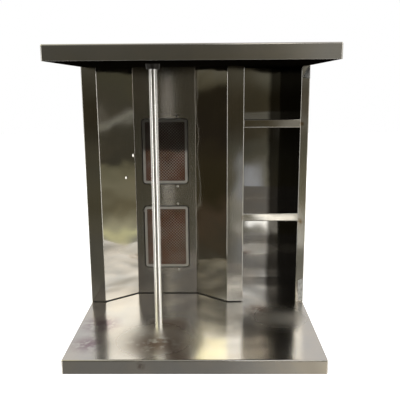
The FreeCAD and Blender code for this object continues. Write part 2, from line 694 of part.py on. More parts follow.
# Bead of black sealant along the foot of the posts, reflectors and burner panel.
seal = new_body("base_seal")
plan = new_sketch(seal, "seal_plan", "XY_Plane", away="deck_z")
outline(plan, [
    ("0 - side_x + bend_radius", "face_y - seal_proud"),
    ("left_post_width - side_x + seal_proud / 2", "face_y - seal_proud"),
    ("panel_x - half_panel + seal_proud / 2", "panel_y - seal_proud"),
    ("panel_x + half_panel - seal_proud / 2", "panel_y - seal_proud"),
    ("mid_left_x - seal_proud / 2", "face_y - seal_proud"),
    ("mid_right_x - bend_radius", "face_y - seal_proud"),
    ("mid_right_x - bend_radius", "face_y"),
    ("mid_left_x", "face_y"),
    ("mid_left_x", "face_y + skin"),
    ("panel_x + half_panel", "panel_y + skin"),
    ("panel_x + half_panel", "panel_y"),
    ("panel_x - half_panel", "panel_y"),
    ("panel_x - half_panel", "panel_y + skin"),
    ("left_post_width - side_x", "face_y + skin"),
    ("left_post_width - side_x", "face_y"),
    ("0 - side_x + bend_radius", "face_y")])
pad(seal, "seal_bead", plan, "seal_height")


def burner_block(label, inset, middle, front, depth, radius):
    """A round-cornered block, inset from the burner's outline, behind the panel's face."""
    body = new_body(label)
    sketch = new_sketch(body, label + "_face", "XZ_Plane", away="0 - (panel_y + " + front + ")")
    burner_outline(sketch, inset, middle, radius)
    pad(body, label + "_block", sketch, depth, flip=True)
    return body


def burner_outline(sketch, inset, middle, radius):
    """A round-cornered outline inset evenly from a burner frame's outside."""
    half_wide = "(burner_width / 2 - " + inset + ")"
    half_tall = "(burner_height / 2 - " + inset + ")"
    rounded_rectangle(
        sketch, "panel_x - " + half_wide, "panel_x + " + half_wide,
        middle + " - " + half_tall, middle + " + " + half_tall, radius)


def window(body, name, inset, middle, front, depth, radius):
    """A round-cornered cut into a burner part, from the given depth backwards."""
    sketch = new_sketch(body, name + "_cut", "XZ_Plane", away="0 - (panel_y + " + front + ")")
    burner_outline(sketch, inset, middle, radius)
    pocket(body, name, sketch, depth)


def burner(prefix, rise):
    """One infrared burner with its screen, tiles, box, brackets, tube, jet and valve."""
    middle = "deck_z + " + rise

    # Pressed frame, just proud of the panel, with its walls turned back.
    frame = burner_block(
        prefix + "_burner_frame", "0", middle, "0 - frame_proud", "frame_depth",
        "corner_radius")
    window(
        frame, prefix + "_frame_back", "skin", middle, "skin - frame_proud", "frame_depth",
        "(corner_radius - skin)")
    window(
        frame, prefix + "_frame_window", "burner_band", middle, "0 - frame_proud", "skin * 2",
        "window_radius")

    # Wire screen held behind the frame's face, with a diamond lattice of holes.
    mesh = new_body(prefix + "_burner_screen")
    sheet_y = "0 - (panel_y + 0.6)"
    plate = new_sketch(mesh, prefix + "_screen_face", "XZ_Plane", away=sheet_y)
    wide = "(burner_width / 2 - burner_band + 4)"
    tall = "(burner_height / 2 - burner_band + 4)"
    rectangle(
        plate, "panel_x - " + wide, "panel_x + " + wide,
        middle + " - " + tall, middle + " + " + tall)
    pad(mesh, prefix + "_screen_sheet", plate, "mesh_wire", flip=True)
    holes = new_sketch(mesh, prefix + "_screen_holes", "XZ_Plane", away=sheet_y)
    reach = "(mesh_pitch / 2 - mesh_wire * 0.7)"
    for shift in ("0", "mesh_pitch / 2"):
        across = "panel_x - mesh_pitch * 4.25 + " + shift
        upward = middle + " - mesh_pitch * 6.75 + " + shift
        outline(holes, [
            (across + " - " + reach, upward), (across, upward + " - " + reach),
            (across + " + " + reach, upward), (across, upward + " + " + reach)])
    pocket(mesh, prefix + "_screen_pair", holes, "mesh_wire * 2")
    pair = mesh.Tip
    lattice = mesh.newObject("PartDesign::MultiTransform", prefix + "_screen_lattice")
    steps = []
    for axis, count in (("H_Axis", 9), ("V_Axis", 14)):
        row = mesh.newObject("PartDesign::LinearPattern", prefix + "_screen_" + axis)
        row.Direction = (holes, [axis])
        row.Occurrences = count
        row.setExpression("Length", bound("mesh_pitch * %d" % (count - 1)))
        steps.append(row)
    lattice.Originals = [pair]
    lattice.Transformations = steps
    mesh.Tip = lattice
    doc.recompute()

    # Two ceramic tiles, one above the other.
    tiles = new_body(prefix + "_ceramic_tiles")
    tile_face = new_sketch(
        tiles, prefix + "_tile_face", "XZ_Plane", away="0 - (panel_y + tile_back)")
    edge = "(burner_width / 2 - skin - 3.5)"
    crown = "(burner_height / 2 - skin - 3.5)"
    joint = "tile_gap / 2"
    for low, high in ((" - " + crown, " - " + joint), (" + " + joint, " + " + crown)):
        rectangle(
            tile_face, "panel_x - " + edge, "panel_x + " + edge, middle + low, middle + high)
    pad(tiles, prefix + "_tile_block", tile_face, "tile_depth", flip=True)

    # Box behind the tiles, open to the front, with a hole for the mixing tube.
    plenum = burner_block(
        prefix + "_plenum", "(skin + box_gap)", middle, "plenum_back", "plenum_depth",
        "(corner_radius - skin - box_gap)")
    window(
        plenum, prefix + "_plenum_inside", "(skin * 2 + box_gap)", middle, "plenum_back",
        "plenum_depth - skin", "(corner_radius - skin * 2 - box_gap)")
    port = new_sketch(plenum, prefix + "_plenum_port", "XZ_Plane", away="0 - (panel_y + 30)")
    circle(port, "panel_x", middle + " + port_rise", "venturi_radius - venturi_wall")
    pocket(plenum, prefix + "_plenum_outlet", port, "plenum_depth")

    # Cranked brackets from the panel's back to the top and bottom of the box.
    brackets = new_body(prefix + "_burner_brackets")
    bend = new_sketch(
        brackets, prefix + "_bracket_section", "YZ_Plane", away="panel_x - bracket_width / 2")
    box_top = "(burner_height / 2 - skin - box_gap)"
    for sign in ("+", "-"):
        crank = [
            ("skin", "bracket_edge"), ("skin", "bracket_crank"),
            ("crank_back", "bracket_crank"), ("crank_back", box_top),
            ("bracket_back", box_top), ("bracket_back", "(" + box_top + " + skin)"),
            ("(crank_back + skin)", "(" + box_top + " + skin)"),
            ("(crank_back + skin)", "(bracket_crank + skin)"),
            ("(skin * 2)", "(bracket_crank + skin)"), ("(skin * 2)", "bracket_edge")]
        outline(bend, [("panel_y + " + a, middle + " " + sign + " " + b) for a, b in crank])
    pad(brackets, prefix + "_bracket_pair", bend, "bracket_width")
    drills = new_sketch(
        brackets, prefix + "_bracket_drills", "XZ_Plane", away="0 - (panel_y + skin)")
    for across in ("panel_x - screw_spread", "panel_x + screw_spread"):
        for upward in (" - screw_lift", " + screw_lift"):
            circle(drills, across, middle + upward, "screw_radius + 0.1")
    pocket(brackets, prefix + "_bracket_holes", drills, "skin * 1.5")

    # Mixing tube: leaves the box's back, turns down, and ends in an open mouth.
    tube = new_body(prefix + "_mixing_tube")
    start = "panel_y + plenum_back + plenum_depth"
    path = new_sketch(tube, prefix + "_tube_path", "YZ_Plane", away="panel_x")
    high = middle + " + port_rise"
    low = middle + " - mouth_drop"
    bent_path(path, (start, high), ("venturi_y", high), ("venturi_y", low), "venturi_radius * 2")
    ring = new_sketch(tube, prefix + "_tube_ring", "XZ_Plane", away="0 - (" + start + ")")
    circle(ring, "panel_x", high, "venturi_radius")
    circle(ring, "panel_x", high, "venturi_radius - venturi_wall")
    sweep(tube, prefix + "_tube_sweep", path, ring)

    # Gas jet: a turned brass holder with a fine bore, just under the tube's mouth.
    jet = new_body(prefix + "_gas_jet")
    half = new_sketch(
        jet, prefix + "_jet_profile", "XZ_Plane", right="panel_x", away="0 - venturi_y")
    jet_top = middle + " - mouth_drop - jet_gap"
    jet_foot = middle + " - jet_drop"
    outline(half, [
        ("0.6", jet_top), ("2.5", jet_top), ("4.5", jet_top + " - 4"), ("7", jet_top + " - 4"),
        ("7", jet_foot), ("tube_radius - 1", jet_foot), ("tube_radius - 1", jet_top + " - 7"),
        ("0.6", jet_top + " - 7")])
    revolve(jet, prefix + "_jet_turned", half)

    # Supply tube: from the valve's side, across and up into the jet.
    line = new_body(prefix + "_supply_tube")
    valve_z = middle + " - valve_drop"
    exit_x = "manifold_x - valve_width / 2"
    path = new_sketch(line, prefix + "_line_path", "XZ_Plane", away="0 - venturi_y")
    bent_path(
        path, (exit_x, valve_z), ("panel_x", valve_z), ("panel_x", jet_foot), "tube_bend")
    ring = new_sketch(line, prefix + "_line_ring", "YZ_Plane", away=exit_x)
    circle(ring, "venturi_y", valve_z, "tube_radius")
    circle(ring, "venturi_y", valve_z, "tube_radius - 1")
    sweep(line, prefix + "_line_sweep", path, ring)

    # Valve body: a brass block on the manifold, with a turned neck for its stem.
    valve = new_body(prefix + "_valve_body")
    half_valve = "valve_width / 2"
    block = new_sketch(valve, prefix + "_valve_face", "XZ_Plane", away="0 - valve_y")
    rectangle(
        block, "manifold_x - " + half_valve, "manifold_x + " + half_valve,
        valve_z + " - " + half_valve, valve_z + " + " + half_valve)
    pad(valve, prefix + "_valve_block", block, "valve_depth", flip=True)
    neck = new_sketch(
        valve, prefix + "_valve_neck", "XZ_Plane", away="0 - (valve_y + valve_depth)")
    circle(neck, "manifold_x", valve_z, "neck_radius")
    pad(valve, prefix + "_valve_turned", neck, "neck_length", flip=True)
    seat = new_sketch(
        valve, prefix + "_valve_seat", "XZ_Plane",
        away="0 - (valve_y + valve_depth - neck_length)")
    circle(seat, "manifold_x", valve_z, "stem_radius + running_gap")
    pocket(valve, prefix + "_valve_bore", seat, "neck_length * 2 + 1")
    side = new_sketch(valve, prefix + "_valve_side", "YZ_Plane", away=exit_x)
    circle(side, "venturi_y", valve_z, "tube_radius - 1")
    pocket(valve, prefix + "_valve_outlet", side, "6", flip=True)

    # Stem and knob, which turn together.
    stem = new_body(prefix + "_valve_stem")
    stem_start = "valve_y + valve_depth - neck_length + 0.2"
    bar = new_sketch(
        stem, prefix + "_stem_end", "XZ_Plane", away="0 - (" + stem_start + ")")
    circle(bar, "manifold_x", valve_z, "stem_radius")
    pad(
        stem, prefix + "_stem_bar", bar,
        "back_y + rear_reach - 8 - (" + stem_start + ")", flip=True)
    knob = new_body(prefix + "_valve_knob")
    skirt = new_sketch(knob, prefix + "_knob_skirt", "XZ_Plane", away="0 - knob_y")
    circle(skirt, "manifold_x", valve_z, "knob_radius + 3")
    pad(knob, prefix + "_knob_base", skirt, "skirt_depth", flip=True)
    grip = new_sketch(
        knob, prefix + "_knob_grip", "XZ_Plane", away="0 - (knob_y + skirt_depth)")
    circle(grip, "manifold_x", valve_z, "knob_radius")
    knob_face = "back_y + rear_reach - pointer_height * 2"
    pad(knob, prefix + "_knob_drum", grip, knob_face + " - knob_y - skirt_depth", flip=True)
    knob_end = number(knob_face)

    def on_rim(box):
        return box.YLength < 0.01 and abs(box.YMin - knob_end) < 0.01
    round_edges(knob, prefix + "_knob_rim", "2", on_rim)
    ridge = new_sketch(
        knob, prefix + "_knob_ridge", "XZ_Plane", away="0 - (" + knob_face + ")")
    rectangle(
        ridge, "manifold_x - 2", "manifold_x + 2",
        valve_z + " - 3", valve_z + " + knob_radius - 3")
    pad(knob, prefix + "_knob_pointer", ridge, "pointer_height", flip=True)
    bore_cut = new_sketch(knob, prefix + "_knob_socket", "XZ_Plane", away="0 - knob_y")
    circle(bore_cut, "manifold_x", valve_z, "stem_radius + 0.05")
    pocket(knob, prefix + "_knob_bore", bore_cut, "rear_reach - 12")


burner("upper", "upper_burner_rise")
burner("lower", "lower_burner_rise")

# Gas manifold: an upright pipe, capped at the top, that both valves are screwed to.
pipe = new_body("manifold_pipe")
ring = new_sketch(pipe, "pipe_ring", "XY_Plane", away="inlet_z + inlet_leg")
circle(ring, "manifold_x", "manifold_y", "manifold_radius")
high = "deck_z + upper_burner_rise - valve_drop + 25"
pad(pipe, "pipe_bar", ring, high + " - inlet_z - inlet_leg")
bore_ring = new_sketch(pipe, "pipe_bore", "XY_Plane", away="inlet_z + inlet_leg")
circle(bore_ring, "manifold_x", "manifold_y", "manifold_radius - 2.3")
pocket(pipe, "pipe_hollow", bore_ring, high + " - inlet_z - inlet_leg - 6", flip=True)

# Gas inlet: an elbow under the manifold that leads back through the rear cover.
elbow = new_body("inlet_elbow")
path = new_sketch(elbow, "inlet_path", "YZ_Plane", away="manifold_x")
bent_path(
    path, ("manifold_y", "inlet_z + inlet_leg"), ("manifold_y", "inlet_z"),
    ("back_y + rear_reach", "inlet_z"), "inlet_radius * 1.5")
ring = new_sketch(elbow, "inlet_ring", "XY_Plane", away="inlet_z + inlet_leg")
circle(ring, "manifold_x", "manifold_y", "inlet_radius")
circle(ring, "manifold_x", "manifold_y", "inlet_radius - 2.6")
sweep(elbow, "inlet_sweep", path, ring)
threaded = new_sketch(elbow, "inlet_end", "XZ_Plane", away="0 - (back_y + rear_reach)")
circle(threaded, "manifold_x", "inlet_z", "inlet_radius + 1")
circle(threaded, "manifold_x", "inlet_z", "thread_radius")
pocket(elbow, "inlet_turned_down", threaded, "thread_length", flip=True)

# Locknut that clamps the inlet to the rear cover.
nut = new_body("inlet_locknut")
hexagon = new_sketch(nut, "nut_face", "XZ_Plane", away="0 - back_y")
flat = "nut_side * sqrt(3) / 2"
six_corners = [
    ("+ nut_side", "+ 0"), ("+ nut_side / 2", "+ " + flat), ("- nut_side / 2", "+ " + flat),
    ("- nut_side", "+ 0"), ("- nut_side / 2", "- " + flat), ("+ nut_side / 2", "- " + flat)]
outline(hexagon, [("manifold_x " + a, "inlet_z " + b) for a, b in six_corners])
pad(nut, "nut_block", hexagon, "nut_depth", flip=True)
thread = new_sketch(nut, "nut_thread", "XZ_Plane", away="0 - back_y")
circle(thread, "manifold_x", "inlet_z", "inlet_radius + 0.05")
pocket(nut, "nut_bore", thread, "nut_depth * 2")

doc.recompute()
for item in doc.Objects:
    if "Invalid" in item.State or "Error" in item.State:
        raise ValueError(item.Name + " did not build: " + str(item.State))
os.makedirs("parts", exist_ok=True)
for part in PARTS:
    if part.Shape.isNull() or not part.Shape.isValid() or not part.Shape.Solids:
        raise ValueError(part.Label + " has no valid solid")
    part.Shape.exportStep("parts/" + part.Label + ".step")
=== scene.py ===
import math

import bmesh
import bpy
import numpy as np
from mathutils import Matrix, Vector


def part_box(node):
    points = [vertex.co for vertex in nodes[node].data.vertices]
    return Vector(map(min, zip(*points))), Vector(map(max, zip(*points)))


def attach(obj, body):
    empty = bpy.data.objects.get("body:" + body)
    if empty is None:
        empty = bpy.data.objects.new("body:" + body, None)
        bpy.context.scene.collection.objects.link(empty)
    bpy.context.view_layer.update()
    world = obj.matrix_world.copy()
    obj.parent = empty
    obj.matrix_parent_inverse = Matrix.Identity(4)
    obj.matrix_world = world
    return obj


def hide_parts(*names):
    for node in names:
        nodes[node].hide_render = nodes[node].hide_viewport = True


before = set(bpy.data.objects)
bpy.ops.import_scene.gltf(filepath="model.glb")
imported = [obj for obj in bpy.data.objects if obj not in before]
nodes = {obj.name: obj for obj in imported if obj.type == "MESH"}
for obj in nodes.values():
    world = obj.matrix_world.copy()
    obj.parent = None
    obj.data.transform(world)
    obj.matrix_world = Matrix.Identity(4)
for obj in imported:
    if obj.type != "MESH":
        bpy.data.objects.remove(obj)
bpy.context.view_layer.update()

# ---- Base channels and rubber feet ------------------------------------------------------
# Two folded, zinc-coated channels stand open side up under the base tray. They stiffen it
# and carry four moulded rubber feet that are plugged into their webs.


class Reading:
    """A number that varies over a surface. Arithmetic on it adds Math nodes to its recipe."""

    def __init__(self, recipe, socket):
        self.recipe = recipe
        self.socket = socket

    def math(self, operation, other=None, flip=False):
        """The reading put through one Math node, with itself second where flip is true."""
        first, second = (other, self) if flip else (self, other)
        inputs = {0: first}
        if second is not None:
            inputs[1] = second
        node = self.recipe.add("ShaderNodeMath", {"operation": operation}, inputs)
        return Reading(self.recipe, node.outputs[0])

    def __add__(self, other):
        return self.math("ADD", other)

    def __radd__(self, other):
        return self.math("ADD", other)

    def __sub__(self, other):
        return self.math("SUBTRACT", other)

    def __rsub__(self, other):
        return self.math("SUBTRACT", other, flip=True)

    def __mul__(self, other):
        return self.math("MULTIPLY", other)

    def __rmul__(self, other):
        return self.math("MULTIPLY", other)

    def __truediv__(self, other):
        return self.math("DIVIDE", other)

    def __abs__(self):
        return self.math("ABSOLUTE")

    def least(self, other):
        """The smaller of the two."""
        return self.math("MINIMUM", other)

    def most(self, other):
        """The larger of the two."""
        return self.math("MAXIMUM", other)

    def clamped(self):
        """Kept between 0 and 1."""
        return self.most(0.0).least(1.0)

    def step(self, start, end):
        """Rises smoothly from 0 at start to 1 at end, or falls where end is lower."""
        share = ((self - start) / (end - start)).clamped()
        return share * share * (3.0 - 2.0 * share)


class Recipe:
    """A material's or a world's node tree while it is put together."""

    def __init__(self, tree):
        self.tree = tree
        tree.nodes.clear()

    def add(self, kind, settings=None, inputs=None):
        """One node: its settings first, then the values or links of its sockets."""
        node = self.tree.nodes.new(kind)
        for name, value in (settings or {}).items():
            if name == "stops":
                ramp = node.color_ramp
                while len(ramp.elements) < len(value):
                    ramp.elements.new(0.5)
                for element, (place, colour) in zip(ramp.elements, value):
                    element.position = place
                    element.color = (*colour, 1.0)
            else:
                setattr(node, name, value)
        for name, value in (inputs or {}).items():
            socket = node.inputs[name]
            if isinstance(value, Reading):
                value = value.socket
            if isinstance(value, bpy.types.NodeSocket):
                self.tree.links.new(value, socket)
            else:
                socket.default_value = value
        return node

    def place(self, stretch=(1.0, 1.0, 1.0)):
        """Object coordinates in metres, stretched along each axis."""
        source = self.add("ShaderNodeTexCoord").outputs["Object"]
        return self.add("ShaderNodeMapping", None, {
            "Vector": source, "Scale": stretch}).outputs[0]

    def axis(self, letter):
        """One object coordinate as a reading."""
        split = self.add("ShaderNodeSeparateXYZ", None, {0: self.place()})
        return Reading(self, split.outputs["XYZ".index(letter)])

    def near(self, point, reach):
        """1 at a point of the piece, falling smoothly to 0 at the given reach in metres."""
        gap = self.add("ShaderNodeVectorMath", {"operation": "DISTANCE"}, {
            0: self.place(), 1: point})
        return Reading(self, gap.outputs["Value"]).step(reach, 0.0)

    def noise(self, where, scale, detail=2.0, roughness=0.5, distortion=0.0):
        """Soft random variation between about 0 and 1."""
        node = self.add("ShaderNodeTexNoise", None, {
            "Vector": where, "Scale": scale, "Detail": detail, "Roughness": roughness,
            "Distortion": distortion})
        return Reading(self, node.outputs[0])

    def blend(self, amount, low, high):
        """One colour passing into another."""
        node = self.add("ShaderNodeMix", {"data_type": "RGBA"}, {0: amount})
        for index, colour in ((6, low), (7, high)):
            if isinstance(colour, bpy.types.NodeSocket):
                self.tree.links.new(colour, node.inputs[index])
            else:
                node.inputs[index].default_value = (*colour, 1.0)
        return node.outputs[2]

    def bump(self, height, distance, strength=1.0, over=None):
        """Small relief in metres, laid over an earlier relief."""
        inputs = {"Height": height, "Distance": distance, "Strength": strength}
        if over is not None:
            inputs["Normal"] = over
        return self.add("ShaderNodeBump", None, inputs).outputs[0]


def finish(recipe, colour, roughness, metallic=0.0, normal=None, **others):
    """Ends a recipe with one Principled shader; others gives the rest of its sockets."""
    recipe.add("ShaderNodeOutputMaterial", None, {0: recipe.add(
        "ShaderNodeBsdfPrincipled", None, {
            "Base Color": colour if isinstance(colour, bpy.types.NodeSocket) else (*colour, 1.0),
            "Roughness": roughness, "Metallic": metallic,
            **({"Normal": normal} if normal is not None else {}),
            **{key.replace("_", " "): value for key, value in others.items()}}).outputs[0]})


def blank(name):
    """A new material and the recipe for it."""
    material = bpy.data.materials.new(name)
    material.use_nodes = True
    return material, Recipe(material.node_tree)


def dress(material, *names):
    """Gives CAD nodes a material."""
    for name in names:
        mesh = nodes[name].data
        mesh.materials.clear()
        mesh.materials.append(material)


def zinc_coat():
    """Zinc plate: dull grey with large faint crystals, darker in its smears."""
    material, recipe = blank("zinc_coat")
    where = recipe.place()
    crystals = Reading(recipe, recipe.add(
        "ShaderNodeTexVoronoi", {"feature": "F1"}, {"Vector": where, "Scale": 90.0}).outputs[1])
    smears = recipe.noise(where, 35.0, 4.0)
    tone = recipe.blend(crystals * 0.4 + smears * 0.6, (0.36, 0.37, 0.38), (0.60, 0.61, 0.62))
    finish(recipe, tone, 0.42 + smears * 0.2, 0.85, recipe.bump(smears, 0.0002))
    return material


def moulded_rubber():
    """Black rubber: faintly grey, matt, with a fine pitted skin and dusty patches."""
    material, recipe = blank("moulded_rubber")
    where = recipe.place()
    dust = recipe.noise(where, 60.0, 5.0)
    pits = recipe.noise(where, 900.0, 2.0)
    tone = recipe.blend(dust, (0.012, 0.012, 0.012), (0.045, 0.043, 0.040))
    finish(recipe, tone, 0.72 + dust * 0.2, 0.0, recipe.bump(pits, 0.0002))
    return material


zinc = zinc_coat()
dress(zinc, "base_channel_left", "base_channel_right")
dress(moulded_rubber(), "rubber_feet")

# ---- Base tray --------------------------------------------------------------------------
# The base is one polished sheet folded down on four sides, its corners welded and ground
# round. The top is not quite flat, so it bends whatever it mirrors.

sheet_gauge = 0.0012
fold_radius = 0.0034
beside = 0.0005
arc_steps = 6


def spread(start, end, count):
    """Even steps, and one more close beside each end that keeps a bend's shading local."""
    steps = np.linspace(start, end, count)
    return np.concatenate([
        steps[:1], [start + beside], steps[1:-1], [end - beside], steps[-1:]])


def grid_quads(index):
    """The quads between neighbouring rows and columns of a grid of point numbers."""
    return np.stack([index[:-1, :-1], index[:-1, 1:], index[1:, 1:], index[1:, :-1]], -1)


def rolled_tray(name, low, high, lip, radius, dish):
    """A folded tray: a flat grid, with a rim carried round it.

    The rim is a quarter circle of the fold radius followed by a straight lip, carried along
    the grid's outline; at each corner it swings through a quarter turn. The grid dips by the
    dish depth times the product of a sine across and a sine along.
    """
    across = spread(low[0] + radius, high[0] - radius, 49)
    along = spread(low[1] + radius, high[1] - radius, 45)
    x, y = np.meshgrid(across, along)
    share_x = (x - across[0]) / (across[-1] - across[0])
    share_y = (y - along[0]) / (along[-1] - along[0])
    sag = np.sin(math.pi * share_x) * np.sin(math.pi * share_y)
    top = np.stack([x, y, high[2] - dish * sag], -1).reshape(-1, 3)
    columns, rows = len(across), len(along)
    index = np.arange(rows * columns).reshape(rows, columns)
    flat = grid_quads(index)
    border = np.concatenate([
        index[0, :], index[1:, -1], index[-1, -2::-1], index[-2:0:-1, 0]])
    spot = top[border]
    corner = [0, columns - 1, columns + rows - 2, 2 * columns + rows - 3]
    fan = np.linspace(0.0, 90.0, arc_steps + 1)
    pieces, turns = [], []
    for number, begin in enumerate(corner):
        end = corner[number + 1] if number < 3 else len(border)
        start_turn = -180.0 + 90.0 * number
        pieces.append(np.repeat(spot[begin:begin + 1], len(fan), 0))
        turns.append(start_turn + fan)
        pieces.append(spot[begin + 1:end])
        turns.append(np.full(end - begin - 1, start_turn + 90.0))
    around = np.concatenate(pieces)
    turn = np.radians(np.concatenate(turns))
    outward = np.stack([np.cos(turn), np.sin(turn), np.zeros_like(turn)], -1)
    bend = np.radians(np.linspace(0.0, 90.0, arc_steps + 1))
    straight_fall = spread(radius, lip, 7)[1:]
    reach = np.concatenate([np.sin(bend), np.ones(len(straight_fall))]) * radius
    fall = np.concatenate([(1.0 - np.cos(bend)) * radius, straight_fall])
    rim = around[:, None, :] + outward[:, None, :] * reach[None, :, None]
    rim[..., 2] = high[2] - fall[None, :]
    count, depth = rim.shape[:2]
    base = len(top)
    ring = base + np.arange(count * depth).reshape(count, depth)
    after = np.roll(ring, -1, 0)
    wall = np.stack([ring[:, :-1], ring[:, 1:], after[:, 1:], after[:, :-1]], -1)
    return merged_piece(name, np.concatenate([top, rim.reshape(-1, 3)]), [flat, wall])


def smooth_piece(name, mesh):
    """A piece for a mesh, smooth and standing at the origin."""
    mesh.shade_smooth()
    piece = bpy.data.objects.new(name, mesh)
    bpy.context.scene.collection.objects.link(piece)
    return piece


def give_wall(piece, gauge):
    """Thickens a sheet inwards from its outer face."""
    wall = piece.modifiers.new("wall", "SOLIDIFY")
    wall.thickness = gauge
    wall.offset = -1.0
    wall.use_even_offset = True


def merged_piece(name, points, grids, gauge=sheet_gauge):
    """A piece from grids of quads: doubles merged, faces smooth, its wall given inwards."""
    mesh = bpy.data.meshes.new(name)
    quads = np.concatenate([grid.reshape(-1, 4) for grid in grids])
    mesh.from_pydata(points.tolist(), [], quads.tolist())
    build = bmesh.new()
    build.from_mesh(mesh)
    bmesh.ops.remove_doubles(build, verts=build.verts, dist=1e-6)
    bmesh.ops.dissolve_degenerate(build, edges=build.edges, dist=1e-7)
    bmesh.ops.recalc_face_normals(build, faces=build.faces)
    build.to_mesh(mesh)
    build.free()
    piece = smooth_piece(name, mesh)
    if gauge:
        give_wall(piece, gauge)
    return piece


dent_depth = 0.0009
brush_depth = 0.00001
# The dark tone laid on a sheet's colour as painted shade.
painted_shade_tone = (0.030, 0.026, 0.018)


def sheet_steel(name, tone, gloss, grain, ripple, ripple_size, dents=(), tints=(), grease=(),
                film=None):
    """Polished stainless sheet.

    Fine brushing runs along the grain axis; slow ripples of the given height in metres bend
    what the sheet mirrors; smears and water spots change its gloss and warm its grey a
    little. Each dent is a point and a reach; each tint is a stain's point, reach and colour.
    Grease is given by points and reaches and takes the mirror finish away. The film argument
    gives the share over which a dark tone is laid on the colour, as painted shade.
    """
    material, recipe = blank(name)
    stretch = {"X": (3.0, 260.0, 260.0), "Y": (260.0, 3.0, 260.0), "Z": (260.0, 260.0, 3.0)}
    where = recipe.place()
    brush = recipe.noise(recipe.place(stretch=stretch[grain]), 1.0, 3.0, 0.6)
    smear = recipe.noise(where, 9.0, 5.0, 0.62, 0.6)
    haze = recipe.noise(where, 45.0, 4.0, 0.6)
    wave = recipe.noise(where, ripple_size, 1.5, 0.45, 0.35)
    spots = recipe.noise(where, 150.0, 2.0).step(0.66, 0.74) * 0.25
    cool = tuple(0.93 * part for part in tone)
    warm = (tone[0] * 1.02, tone[1] * 0.985, tone[2] * 0.94)
    colour = recipe.blend((smear.step(0.35, 0.7) + spots).clamped(), cool, warm)
    for point, reach, stain in tints:
        share = recipe.near(point, reach) * haze.step(0.3, 0.55)
        colour = recipe.blend(share, colour, stain)
    if film:
        # Painted shade: the dark tone is laid over the share that the film argument gives.
        colour = recipe.blend(film(recipe) * (0.90 + smear * 0.12), colour, painted_shade_tone)
    rough = gloss + (brush - 0.5) * 0.03 + smear.step(0.45, 0.75) * 0.03 + (haze - 0.5) * 0.03
    for point, reach in grease:
        rough = rough + recipe.near(point, reach) * (smear.step(0.2, 0.5) * 0.08 + 0.22)
    relief = recipe.bump(wave, ripple)
    for point, reach in dents:
        relief = recipe.bump(recipe.near(point, reach), dent_depth, 1.0, relief)
    relief = recipe.bump(brush, brush_depth, 1.0, relief)
    finish(recipe, colour, rough.most(0.03), 1.0, relief)
    return material


low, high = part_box("base_tray")
plate_dish = 0.0006
base = rolled_tray("base_sheet", low, high, high.z - low.z, fold_radius, plate_dish)
brown, purple, straw = (0.26, 0.19, 0.15), (0.34, 0.26, 0.29), (0.30, 0.20, 0.09)
deck_z, lip_y = high.z, low.y
deck_steel = sheet_steel(
    "deck_steel", (0.66, 0.65, 0.63), gloss=0.16, grain="Y", ripple=0.0062, ripple_size=4.2,
    tints=(((-0.245, -0.105, deck_z), 0.070, purple), ((-0.255, -0.215, deck_z), 0.060, purple),
           ((-0.095, -0.215, deck_z), 0.090, brown), ((0.165, -0.010, deck_z), 0.055, brown),
           ((-0.120, lip_y, 0.024), 0.014, brown)),
    grease=(((-0.100, -0.190, deck_z), 0.150), ((0.225, -0.060, deck_z), 0.110)))
base.data.materials.append(deck_steel)
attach(base, "cabinet")
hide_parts("base_tray")

# ---- Socket under the base --------------------------------------------------------------
# A turned steel cup hangs under the base tray and holds the socket in which the square foot
# of the spit stands and turns.

dress(zinc, "socket_housing", "spit_socket")

# ---- Side panels and posts --------------------------------------------------------------
# The tower's sides are sheets folded round at the front into flat posts, with rear flanges
# for the back cover. They are polished upright, and their folds are rolled, not sharp.


bend_radius = 0.0022


def rolled_path(corners):
    """A path in a plane with its inner corners turned through arcs.

    An arc leaves each leg at the bend radius times the tangent of half the turning angle before
    the corner. Its centre lies one radius to the inner side of the leg, and its points are
    the centre plus the radius turned evenly from one leg's normal to the next one's. One
    more point stands on either leg close beside the arc, and one beside each end.
    """
    corners = np.asarray(corners, float)
    first = (corners[1] - corners[0]) / np.linalg.norm(corners[1] - corners[0])
    last = (corners[-1] - corners[-2]) / np.linalg.norm(corners[-1] - corners[-2])
    points = [corners[:1], corners[:1] + first * beside]
    for before, here, after in zip(corners[:-2], corners[1:-1], corners[2:]):
        into = (here - before) / np.linalg.norm(here - before)
        out = (after - here) / np.linalg.norm(after - here)
        cross = into[0] * out[1] - into[1] * out[0]
        turn = math.atan2(cross, into @ out)
        start = here - into * bend_radius * math.tan(abs(turn) / 2.0)
        inward = np.array([-into[1], into[0]]) * math.copysign(1.0, turn)
        angles = np.linspace(0.0, turn, arc_steps + 1)[:, None]
        spoke = -inward * bend_radius
        swung = np.cos(angles) * spoke + np.sin(angles) * np.array([-spoke[1], spoke[0]])
        arc = start + inward * bend_radius + swung
        points.append(np.concatenate([start[None] - into * beside, arc, arc[-1:] + out * beside]))
    points += [corners[-1:] - last * beside, corners[-1:]]
    return np.concatenate(points)


def folded_sheet(name, corners, axis, span, steps=24):
    """A sheet folded along one axis, shown by its outer face and given its wall inwards.

    The outer face is the rolled path repeated at even steps along the axis. Its face points
    the way the path's heading crossed with the axis points.
    """
    path = rolled_path(corners)
    along = spread(span[0], span[1], steps + 1)
    grid = np.zeros((len(along), len(path), 3))
    if axis == "Z":
        grid[..., :2] = path[None]
        grid[..., 2] = along[:, None]
    else:
        grid[..., 1:] = path[None]
        grid[..., 0] = along[:, None]
    count = len(path)
    index = np.arange(len(along) * count).reshape(len(along), count)
    quads = grid_quads(index)
    mesh = bpy.data.meshes.new(name)
    mesh.from_pydata(grid.reshape(-1, 3).tolist(), [], quads.reshape(-1, 4).tolist())
    piece = smooth_piece(name, mesh)
    give_wall(piece, sheet_gauge)
    return piece


def hang(piece, material, node, body="cabinet"):
    """Gives a finished piece its material and its body, and hides the CAD node it stands for."""
    piece.data.materials.append(material)
    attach(piece, body)
    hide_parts(node)


